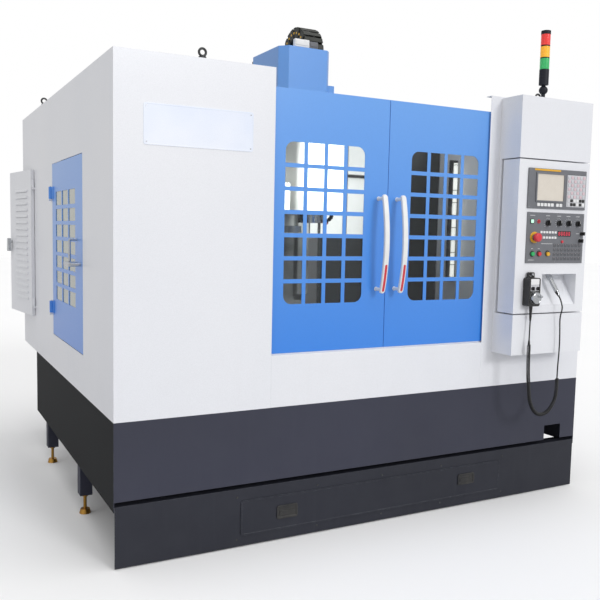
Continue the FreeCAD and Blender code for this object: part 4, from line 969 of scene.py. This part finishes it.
for i, place in enumerate(access["pulls"]):
    add(flushPull(f"flush_pull_{i + 1}", *place, access["proud"]), "coolant_tank", "black_plastic")
edgeScrews = [(x, z) for x in (0.545, 0.95, 1.31, 1.67, 2.077) for z in (0.036, 0.229)]
add(screws("tank_screws", edgeScrews, access["face"], 0.0048), "coolant_tank", "motor_black")
print("tank front done")


# Cable chain over the head.
chain = {"links": 11, "centre": (1.365, 1.033, 2.427), "outer": 0.1475, "inner": 0.082, "half": 0.060, "side": 0.005,
         "bar": 0.006, "pin": 0.0065}
centre = at(*chain["centre"])
step = math.pi / chain["links"]
middle = (chain["outer"] + chain["inner"]) / 2
tall = chain["outer"] - chain["inner"]
linkLong = chain["outer"] * step


def linkSide(x, inset):
    bar = addBlock("side", centre + Vector((x, -linkLong * 0.56, middle - tall / 2 + 0.001)),
                   centre + Vector((x + chain["side"], linkLong * 0.56, middle + tall / 2 - inset)))
    roundAlong(bar, "X", linkLong * 0.40, 5)
    return soften(bar, 0.0010, 2)


def makeLink(outward):
    shift = chain["side"] * (0 if outward else 1.05)
    parts = [linkSide(-chain["half"] + shift, 0.0045), linkSide(chain["half"] - chain["side"] - shift, 0.0045)]
    for level in (chain["outer"] - chain["bar"], chain["inner"]):
        bar = addBlock("bar", centre + Vector((-chain["half"] + 0.003, -linkLong * 0.34, level)),
                       centre + Vector((chain["half"] - 0.003, linkLong * 0.34, level + chain["bar"])))
        parts.append(soften(bar, 0.0018, 3))
    return joined("link", parts)


links = []
patterns = [makeLink(True), makeLink(False)]
pins = []
pin = addRod("pin", centre + Vector((-chain["half"] - 0.0012, 0, middle)),
             centre + Vector((-chain["half"] + 0.004, 0, middle)), chain["pin"], 24, chain["pin"] * 0.9)
pin = soften(pin, 0.0008, 2)
for i in range(chain["links"]):
    spin = (Matrix.Translation(centre) @ Matrix.Rotation(math.pi / 2 - step * (i + 0.5), 4, "X")
            @ Matrix.Translation(-centre))
    for source, kept in ((patterns[i % 2], links), (pin, pins)):
        kept.append(copyTurned(source, spin))
for source in patterns + [pin]:
    bpy.data.objects.remove(source)
add(joined("chain_links", links), "head", slotOf["cable_chain"], chainPlastic, ["cable_chain"])
add(joined("chain_pins", pins), "head", "yellow_plastic")
hoses = []
for i, (x, radius) in enumerate(((-0.034, 0.013), (-0.004, 0.010), (0.026, 0.014))):
    ring = addRing("hose", centre + Vector((x, 0, 0)), middle + (radius - 0.012), radius, "X", 64, 12)
    pick(ring)
    bpy.ops.object.mode_set(mode="EDIT")
    bpy.ops.mesh.select_all(action="SELECT")
    bpy.ops.mesh.bisect(plane_co=centre, plane_no=(0, 0, 1), clear_inner=True, use_fill=True)
    bpy.ops.object.mode_set(mode="OBJECT")
    hoses.append(smooth(ring, 50))
add(joined("chain_hoses", hoses), "head", "cord_rubber", finishes["cord_rubber"])
for name, xs, zs, slotName in (("clamp_left", (1.227, 1.318), (2.427, 2.470), "white_plastic"),
                               ("clamp_right", (1.3185, 1.373), (2.427, 2.464), "panel_grey")):
    block = slab(name, xs, (0.862, 0.888), zs)
    cap = slab("cap", (xs[0] + 0.006, xs[1] - 0.006), (0.859, 0.863), (zs[0] + 0.010, zs[1] - 0.010))
    add(joined(name, [soften(block, 0.003, 3), soften(cap, 0.001, 2)]), "head", slotName)
print("chain done")


# Signal tower lenses.
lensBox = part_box("tower_lenses")
towerX, towerY = (lensBox[0].x + lensBox[1].x) / 2, (lensBox[0].y + lensBox[1].y) / 2
tower = {"radius": 0.0240, "high": 0.0540, "levels": (2.245, 2.304, 2.364), "ribs": 9, "rib": 0.0010}
lens = addRod("lens", (towerX, towerY, 0), (towerX, towerY, tower["high"]), tower["radius"] - tower["rib"], 48)
ridges = [addRing("ridge", (towerX, towerY, tower["high"] * (i + 0.5) / tower["ribs"]), tower["radius"] - tower["rib"],
                  tower["rib"], "Z", 48, 8) for i in range(tower["ribs"])]
lens = smooth(joined("lens", [soften(lens, 0.0012, 2)] + ridges))
for level, name, look in zip(tower["levels"], ("lens_green", "lens_yellow", "lens_red"),
                             (greenLens, yellowLens, redLens)):
    add(copyMoved(lens, (0, 0, level)), "machine", "lens_plastic", look,
        ["tower_lenses"] if name == "lens_red" else ())
bpy.data.objects.remove(lens)
print("tower done")


# Pendant face.
pendant = {"face": -0.190, "x": (2.032, 2.096), "labelZ": (1.1605, 1.190), "wheelX": 2.064, "wheelZ": 1.095}
add(plateOn("pendant_label", (pendant["x"][0] + 0.004, pendant["x"][1] - 0.004), pendant["face"], pendant["labelZ"],
            0.0010, 0.003, 0.0003), "control_box", "white_plastic")
add(ticksRound("pendant_marks", pendant["wheelX"], pendant["wheelZ"], 0.0302, 50, 0, 352.8, (0.0006, 0.0022),
               pendant["face"]), "control_box", "white_plastic")
dialPlate = plateOn("dial_plate", (pendant["x"][0] + 0.004, pendant["x"][1] - 0.004), pendant["face"],
                    (1.1290, 1.1595), 0.0008, 0.003, 0.0002)
for x in (2.047, 2.081):
    cutWith(dialPlate, addRod("hole", at(x, -0.18, 1.142), at(x, -0.21, 1.142), 0.0035, 24))
add(dialPlate, "control_box", "white_plastic", keyGrey)
hookCap = addRod("hook_cap", at(2.064, -0.1715, 1.211), at(2.064, -0.1750, 1.211), 0.0070, 28, 0.0060)
add(soften(hookCap, 0.0008, 2), "control_box", "bright_steel")
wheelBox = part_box("handwheel")
wheelFace = wheelBox[0].y - corner.y + 0.016
hub = addRod("wheel_hub", at(2.064, wheelFace + 0.0005, 1.095), at(2.064, wheelFace - 0.0015, 1.095), 0.0085, 32,
             0.0075)
band = smooth(addRing("band", at(2.064, wheelFace, 1.095), 0.0255, 0.0010, "Y", 48, 8))
add(joined("wheel_hub", [soften(hub, 0.0004, 2), band]), "handwheel", "bright_steel")
print("pendant done")


# Inside the chamber.
nozzles = {"x": (1.205, 1.392), "top": 1.500, "y": 0.700, "beads": 4, "ball": 0.0115, "bend": 0.010, "drop": 0.030}
for i, x in enumerate(nozzles["x"]):
    beads = []
    lean = 1 if i == 0 else -1
    for j in range(nozzles["beads"]):
        t = j / (nozzles["beads"] - 1)
        place = at(x + lean * nozzles["bend"] * 2.2 * t * t, nozzles["y"] + 0.012 * t * t,
                   nozzles["top"] - 0.008 - nozzles["drop"] * t)
        beads.append(addBall("bead", place, nozzles["ball"], 16))
    add(smooth(joined(f"coolant_line_{i + 1}", beads), 60), "head", "grey_sheet", finishes["motor_black"])
    tip = addRod(f"coolant_tip_{i + 1}", place + Vector((0, 0, -0.006)), place + Vector((lean * 0.010, 0.006, -0.031)),
                 0.011, 20, 0.0045)
    add(soften(tip, 0.0008, 2), "head", "red_plastic", moulded("tip_orange", "e2552a", "c9451f", 0.4))
strip = {"x": 2.555, "y": 1.071, "z": (1.105, 1.875), "tube": 0.014, "hoops": 10, "case": 0.030}
lampCase = softSlab("chamber_lamp", (strip["x"] - strip["case"], strip["x"] + strip["case"]),
                    (strip["y"] + 0.012, strip["y"] + 0.034), (strip["z"][0] - 0.02, strip["z"][1] + 0.02), edge=0.004,
                    steps=3)
add(lampCase, "machine", "grey_sheet")
tube = addRod("lamp_tube", at(strip["x"], strip["y"], strip["z"][0]), at(strip["x"], strip["y"], strip["z"][1]),
              strip["tube"], 32)
add(soften(tube, 0.002, 2), "machine", "white_plastic", lit("lamp_tube_glow", "fbfbf6", "f0efe6", 0.8))
cage = [addRing("hoop", at(strip["x"], strip["y"], strip["z"][0] + 0.01 + 0.083 * i), 0.0165, 0.0022, "Z", 24, 8)
        for i in range(strip["hoops"])]
add(smooth(joined("lamp_hoops", cage)), "machine", "motor_black")

# A pale panel with dark bars high on the chamber's back wall; its glow is painted light, standing in for a brightly lit
# wall.
rear = {"x": (1.560, 2.120), "y": (1.2905, 1.2965), "z": (1.386, 2.030), "bars": (1.640, 1.835), "barWide": 0.016,
        "crossZ": 1.766, "crossHigh": 0.020}
add(softSlab("pale_back_panel", rear["x"], rear["y"], rear["z"], edge=0.002), "machine", "white_plastic",
    lit("back_panel_painted_glow", "f0f1ee", "e2e4e0", 0.35))
bars = [slab("bar", (x - rear["barWide"] / 2, x + rear["barWide"] / 2), (rear["y"][0] - 0.012, rear["y"][0]), rear["z"])
        for x in rear["bars"]]
bars.append(slab("bar", rear["x"], (rear["y"][0] - 0.010, rear["y"][0]),
                 (rear["crossZ"] - rear["crossHigh"] / 2, rear["crossZ"] + rear["crossHigh"] / 2)))
bars += [slab("bar", (x - 0.010, x + 0.010), (rear["y"][0] - 0.014, rear["y"][0]), rear["z"]) for x in rear["x"]]
add(joined("panel_bars", [soften(bar, 0.0015, 2) for bar in bars]), "machine", "motor_black")
print("chamber done")


# Cabinet door: hooded louvres and a filter mat.
hoods = {"count": 18, "front": 1.962 + 0.078, "wide": 0.265, "firstZ": 0.840 + 0.095,
         "pitch": (1.745 - 0.840 - 0.190) / 18,
         "high": 0.012, "face": -0.021, "proud": 0.007, "hinge": (-0.011, 1.953), "ajar": 7.5}


def swung(obj):
    hinge = at(hoods["hinge"][0], hoods["hinge"][1], 0)
    obj.data.transform(Matrix.Translation(hinge) @ Matrix.Rotation(math.radians(hoods["ajar"]), 4, "Z")
                       @ Matrix.Translation(-hinge))
    return obj


def makeHood():
    z = hoods["firstZ"]
    hood = slab("hood", (hoods["face"] - hoods["proud"], hoods["face"] + 0.0008), (hoods["front"] - 0.004,
                hoods["front"] + hoods["wide"] + 0.004), (z + 0.001, z + hoods["high"] + 0.006))
    pick(hood)
    for vertex in hood.data.vertices:  # the hood leans back to the sheet at its top
        if vertex.co.z > z + hoods["high"] and vertex.co.x < at(hoods["face"], 0, 0).x - 0.001:
            vertex.co.x += hoods["proud"] * 0.9
    selectFaces(hood, lambda f: f.normal.z < -0.9)
    bpy.ops.mesh.inset(thickness=0.0010, depth=0)
    bpy.ops.mesh.inset(thickness=0.0002, depth=-0.010)
    bpy.ops.object.mode_set(mode="OBJECT")
    return soften(hood, 0.0006, 2, 20)


hood = makeHood()
row = [copyMoved(hood, (0, 0, hoods["pitch"] * i)) for i in range(hoods["count"])]
hoodPattern = hood
add(swung(joined("louvre_hoods", row)), "cabinet_door", "white_sheet")
mat = slab("filter_mat", (hoods["face"] + 0.0034, hoods["face"] + 0.009),
           (hoods["front"] - 0.02, hoods["front"] + hoods["wide"] + 0.02),
           (hoods["firstZ"] - 0.02, hoods["firstZ"] + hoods["pitch"] * 17 + 0.035))
add(swung(soften(mat, 0.001, 2)), "cabinet_door", "panel_grey",
    moulded("filter_mat", "8f9294", "7f8284", 0.9, 300, 0.8))
print("cabinet door done")


# Pieces drawn facing forward are turned to the back or to the right side.
def toBack(obj, depth):
    middle = at(1.3, depth / 2, 0)
    obj.data.transform(Matrix.Translation(middle) @ Matrix.Rotation(math.pi, 4, "Z") @ Matrix.Translation(-middle))
    return obj


def toRight(obj, across, quarter=1):
    obj.data.transform(Matrix.Translation(at(across, 0, 0)) @ Matrix.Rotation(quarter * math.pi / 2, 4, "Z")
                       @ Matrix.Translation(-at(0, 0, 0)))
    return obj


rearDepth = (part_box("rear_wall")[1] - corner).y
service = {"x": (0.200, 0.900), "z": (0.840, 1.640), "proud": 0.0028, "corner": 0.016, "pulls": (0.250, 0.745),
           "pullWide": 0.105, "pullZ": (1.215, 1.285), "screwIn": 0.022}
cover = slab("rear_cover", service["x"], (-service["proud"], 0), service["z"])
roundAlong(cover, "Y", service["corner"])
insetPanel(cover, frontFace(cover), 0.010, -0.0007)
add(toBack(soften(cover, 0.0006, 2, 20), rearDepth), "machine", "white_sheet")
places = [(x, z) for x in (service["x"][0] + service["screwIn"], 0.55, service["x"][1] - service["screwIn"])
          for z in (service["z"][0] + service["screwIn"], 1.105, 1.375, service["z"][1] - service["screwIn"])]
add(toBack(screws("rear_screws", places, -service["proud"] + 0.0005, 0.0050), rearDepth), "machine", "bright_steel")
for i, left in enumerate(service["pulls"]):
    pull = flushPull(f"rear_pull_{i + 1}", left, left + service["pullWide"], *service["pullZ"], service["proud"])
    add(toBack(pull, rearDepth), "machine", "black_plastic")

# A steel wireway from the cabinet across the rear wall, with a screwed lid.
wireway = {"x": (1.060, 2.000), "z": (1.880, 1.955), "proud": 0.070, "lid": 0.0016}
duct = slab("wireway", wireway["x"], (-wireway["proud"], 0), wireway["z"])
lid = slab("lid", (wireway["x"][0] + 0.003, wireway["x"][1]), (-wireway["proud"] - wireway["lid"], -wireway["proud"]),
           (wireway["z"][0] - 0.003, wireway["z"][1] + 0.003))
cap = slab("cap", (wireway["x"][0] - 0.002, wireway["x"][0]), (-wireway["proud"] + 0.004, -0.004),
           (wireway["z"][0] + 0.004, wireway["z"][1] - 0.004))
add(toBack(joined("wireway", [soften(part, 0.0006, 2) for part in (duct, lid, cap)]), rearDepth), "machine",
    "grey_sheet")
places = [(wireway["x"][0] + 0.04 + 0.172 * i, wireway["z"][0] + 0.0375) for i in range(6)]
add(toBack(screws("wireway_screws", places, -wireway["proud"] - wireway["lid"], 0.0042), rearDepth), "machine",
    "bright_steel")

# Air service unit: bracket, three bodies, two bowls, a round gauge and two fittings.
air = {"x": 1.250, "z": 1.300, "pitch": 0.056, "body": 0.023, "deep": 0.048, "bowl": 0.019, "bowlLong": 0.075,
       "gauge": 0.020}
bracket = plateOn("air_bracket", (air["x"] - 0.10, air["x"] + 0.10), 0, (air["z"] - 0.03, air["z"] + 0.045), 0.003,
                  0.006)
add(toBack(bracket, rearDepth), "machine", "ground_steel")
bodies, bowls = [], []
for i in (-1, 0, 1):
    x = air["x"] + air["pitch"] * i
    bodies.append(softSlab("body", (x - air["body"], x + air["body"]), (-0.006 - air["deep"], -0.003),
                           (air["z"] - 0.022, air["z"] + 0.024), edge=0.003, steps=3))
    top = addRod("knob", at(x, -0.03, air["z"] + 0.024), at(x, -0.03, air["z"] + (0.058 if i == 0 else 0.034)), 0.016,
                 28, 0.0145)
    bodies.append(soften(top, 0.0015, 2))
    if i:
        bowl = addRod("bowl", at(x, -0.03, air["z"] - 0.022), at(x, -0.03, air["z"] - 0.022 - air["bowlLong"]),
                      air["bowl"], 32, air["bowl"] * 0.86)
        drain = addRod("drain", at(x, -0.03, air["z"] - 0.022 - air["bowlLong"]),
                       at(x, -0.03, air["z"] - 0.040 - air["bowlLong"]), 0.005, 16)
        bowls += [soften(bowl, 0.004, 4), soften(drain, 0.001, 2)]
    if i < 1:
        bodies.append(softSlab("clip", (x + air["body"] - 0.001, x + air["pitch"] - air["body"] + 0.001),
                               (-0.048, -0.012), (air["z"] - 0.014, air["z"] + 0.014), edge=0.0015))
add(toBack(joined("air_bodies", bodies), rearDepth), "machine", "panel_grey", keyGrey)
add(toBack(joined("air_bowls", bowls), rearDepth), "machine", "black_plastic",
    moulded("bowl_smoke", "3c4450", "2e353f", 0.1,
            900, 0.03, 0.8, 0.0, 0.05))
gaugeAt = (air["x"], -0.054, air["z"])
gauge = addRod("gauge", at(*gaugeAt), at(gaugeAt[0], -0.072, gaugeAt[2]), air["gauge"], 40)
add(toBack(soften(gauge, 0.0015, 3), rearDepth), "machine", "black_plastic")
dial = addRod("gauge_dial", at(gaugeAt[0], -0.0719, gaugeAt[2]), at(gaugeAt[0], -0.0726, gaugeAt[2]),
              air["gauge"] - 0.0025, 40)
add(toBack(soften(dial, 0.0002, 1), rearDepth), "machine", "white_plastic")
hands = ticksRound("gauge_marks", gaugeAt[0], gaugeAt[2], 0.0125, 21, -135, 270, (0.0005, 0.0026), -0.0726, 0.0003)
needle = softSlab("needle", (gaugeAt[0] - 0.0006, gaugeAt[0] + 0.0006), (-0.0734, -0.0726),
                  (gaugeAt[2] - 0.004, gaugeAt[2] + 0.012), edge=0.0002, steps=1)
add(toBack(joined("gauge_marks", [hands, needle]), rearDepth), "machine", "black_plastic")
fittings = []
for side in (-1, 1):
    start = air["x"] + side * (air["pitch"] + air["body"] - 0.001)
    for reach, radius, sides in ((0.010, 0.011, 6), (0.024, 0.0075, 24)):
        fittings.append(softRod("fitting", at(start, -0.03, air["z"]), at(start + side * reach, -0.03, air["z"]),
                                radius, sides, edge=0.0008))
add(toBack(joined("air_fittings", fittings), rearDepth), "machine", "brass_foot")
print("rear wall dressed")

# Louvred vents on the rear wall.
vents = {"columns": (0.930, 1.560), "low": 0.700, "pitch": 0.030, "count": 4}
row = []
hoodBox = at(hoods["face"], hoods["front"] + hoods["wide"] / 2, hoods["firstZ"])
for x in vents["columns"]:
    for i in range(vents["count"]):
        spot = at(2.6 - x, rearDepth, vents["low"] + vents["pitch"] * i)
        row.append(copyTurned(hoodPattern, Matrix.Translation(spot) @ Matrix.Rotation(-math.pi / 2, 4, "Z")
                              @ Matrix.Translation(-hoodBox)))
bpy.data.objects.remove(hoodPattern)
add(joined("rear_vents", row), "machine", "white_sheet")

# Cabinet: slots for the fans in its back, main switch and cable glands on its right side.
cabinetBox = [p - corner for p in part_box("electrical_cabinet")]
slots = [slab("slot", (x, x + 0.150), (cabinetBox[1].y - 0.006, cabinetBox[1].y + 0.01), (z, z + 0.007))
         for x in (0.080, 0.350) for z in [base + 0.016 * i for base in (0.760, 1.780) for i in range(10)]]
cutWith(shells["electrical_cabinet"], joined("slots", slots))
switch = {"y": 2.180, "z": 1.450, "half": 0.045}
side = cabinetBox[1].x
plate = plateOn("switch_plate", (switch["y"] - switch["half"], switch["y"] + switch["half"]), 0,
                (switch["z"] - switch["half"], switch["z"] + switch["half"]), 0.004, 0.008, 0.001)
add(toRight(plate, side), "machine", "yellow_plastic")
disc = softRod("disc", at(switch["y"], -0.004, switch["z"]), at(switch["y"], -0.014, switch["z"]), 0.030, 48,
               edge=0.0015, steps=3)
wing = soften(roundAlong(slab("wing", (switch["y"] - 0.010, switch["y"] + 0.010), (-0.036, -0.012),
                              (switch["z"] - 0.028, switch["z"] + 0.028)), "Y", 0.006), 0.002, 3)
add(toRight(joined("main_switch", [disc, wing]), side), "machine", "red_plastic")
glands = []
for i in range(4):
    y = 2.00 + 0.08 * i
    for depth, radius, sides in ((0.008, 0.020, 6), (0.022, 0.0155, 32), (0.030, 0.0130, 32)):
        glands.append(softRod("gland", at(y, 0, 0.70), at(y, -depth, 0.70), radius, sides, edge=0.0012))
add(toRight(joined("cable_glands", glands), side), "machine", "black_plastic")

# Switchgear on a plate inside the cabinet, seen when its door is open.
gear = {"across": 0.560, "y": (1.965, 2.375), "z": (0.700, 2.000), "duct": 0.045, "ductDeep": 0.060,
        "ducts": (0.820, 1.130, 1.430, 1.950), "drives": 4, "driveZ": (1.500, 1.900), "breakers": 16, "breakerZ": 1.240,
        "contactors": 6, "contactorZ": 0.930}


def toLeft(obj, across):
    return toRight(obj, across, -1)


near, far = -gear["y"][1], -gear["y"][0]
add(toLeft(plateOn("gear_plate", (near, far), 0, gear["z"], 0.003, 0.004), gear["across"]), "machine", "ground_steel")
ducts = []
for z in gear["ducts"]:
    ducts.append(softSlab("duct", (near + 0.01, far - 0.01), (-gear["ductDeep"], -0.003), (z, z + gear["duct"]),
                          edge=0.001))
    ducts.append(softSlab("lid", (near + 0.009, far - 0.009), (-gear["ductDeep"] - 0.004, -gear["ductDeep"] + 0.004),
                          (z - 0.0015, z + gear["duct"] + 0.0015), edge=0.0015))
add(toLeft(joined("gear_ducts", ducts), gear["across"]), "machine", "panel_grey", keyGrey)
wide = (far - near - 0.03) / gear["drives"]
drive = slab("drive", (near + 0.015, near + 0.012 + wide), (-0.170, -0.003), gear["driveZ"])
insetPanel(drive, frontFace(drive), 0.008, -0.002)
drive = soften(drive, 0.002, 2)
face = slab("lid", (near + 0.026, near + 0.001 + wide), (-0.171, -0.166),
            (gear["driveZ"][1] - 0.13, gear["driveZ"][1] - 0.03))
drive = joined("drive", [drive, soften(face, 0.001, 2)])
units = [copyMoved(drive, (wide * i, 0, 0)) for i in range(gear["drives"])]
bpy.data.objects.remove(drive)
add(toLeft(joined("gear_drives", units), gear["across"]), "machine", "panel_grey")
for name, count, z, size, deep, slotName in (("breakers", gear["breakers"], gear["breakerZ"], (0.0175, 0.085), 0.070,
                                              "white_plastic"),
                                             ("contactors", gear["contactors"], gear["contactorZ"], (0.045, 0.080),
                                              0.085, "black_plastic")):
    left = near + 0.03
    unit = softSlab("unit", (left, left + size[0]), (-deep + 0.015, -0.003), (z, z + size[1]), edge=0.0012)
    nose = softSlab("nose", (left + 0.001, left + size[0] - 0.001), (-deep, -deep + 0.016),
                    (z + 0.020, z + size[1] - 0.020), edge=0.0015)
    lever = softSlab("lever", (left + size[0] / 2 - 0.004, left + size[0] / 2 + 0.004), (-deep - 0.008, -deep + 0.002),
                     (z + size[1] / 2, z + size[1] / 2 + 0.010), edge=0.001)
    unit = joined("unit", [unit, nose, lever])
    units = [copyMoved(unit, ((size[0] + 0.0015) * i, 0, 0)) for i in range(count)]
    bpy.data.objects.remove(unit)
    add(toLeft(joined("gear_" + name, units), gear["across"]), "machine", slotName)
core = softSlab("core", (near + 0.20, far - 0.06), (-0.120, -0.010), (0.715, 0.800), edge=0.002)
winding = softSlab("winding", (near + 0.225, far - 0.085), (-0.135, -0.012), (0.728, 0.788), edge=0.008, steps=4)
add(toLeft(joined("gear_transformer", [core, winding]), gear["across"]), "machine", "motor_black")
print("cabinet dressed")

# The right side: a removable panel marked by a narrow groove, with sunk screws.
panel = {"y": (0.560, 1.340), "z": (0.760, 1.960), "groove": 0.004, "deep": 0.0014, "sunk": 0.0022, "screw": 0.0065}
rightX = (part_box("right_enclosure")[1] - corner).x
groove = slab("groove", (rightX - panel["deep"], rightX + 0.01), panel["y"], panel["z"])
cutWith(groove, slab("core", (rightX - 0.02, rightX + 0.02),
                     [panel["y"][0] + panel["groove"], panel["y"][1] - panel["groove"]],
                     [panel["z"][0] + panel["groove"], panel["z"][1] - panel["groove"]]))
cutWith(shells["right_enclosure"], groove)
spots = [(y, z) for y in (panel["y"][0] + 0.03, sum(panel["y"]) / 2, panel["y"][1] - 0.03)
         for z in (panel["z"][0] + 0.03, 1.16, 1.56, panel["z"][1] - 0.03)
         if not (abs(y - sum(panel["y"]) / 2) < 0.01 and 1.0 < z < 1.7)]
pits = [addRod("pit", at(rightX - panel["sunk"], y, z), at(rightX + 0.01, y, z), panel["screw"], 24) for y, z in spots]
cutWith(shells["right_enclosure"], joined("pits", pits))
add(toRight(screws("panel_fixings", spots, panel["sunk"], panel["screw"] * 0.86), rightX), "machine", "bright_steel")
print("right side dressed")
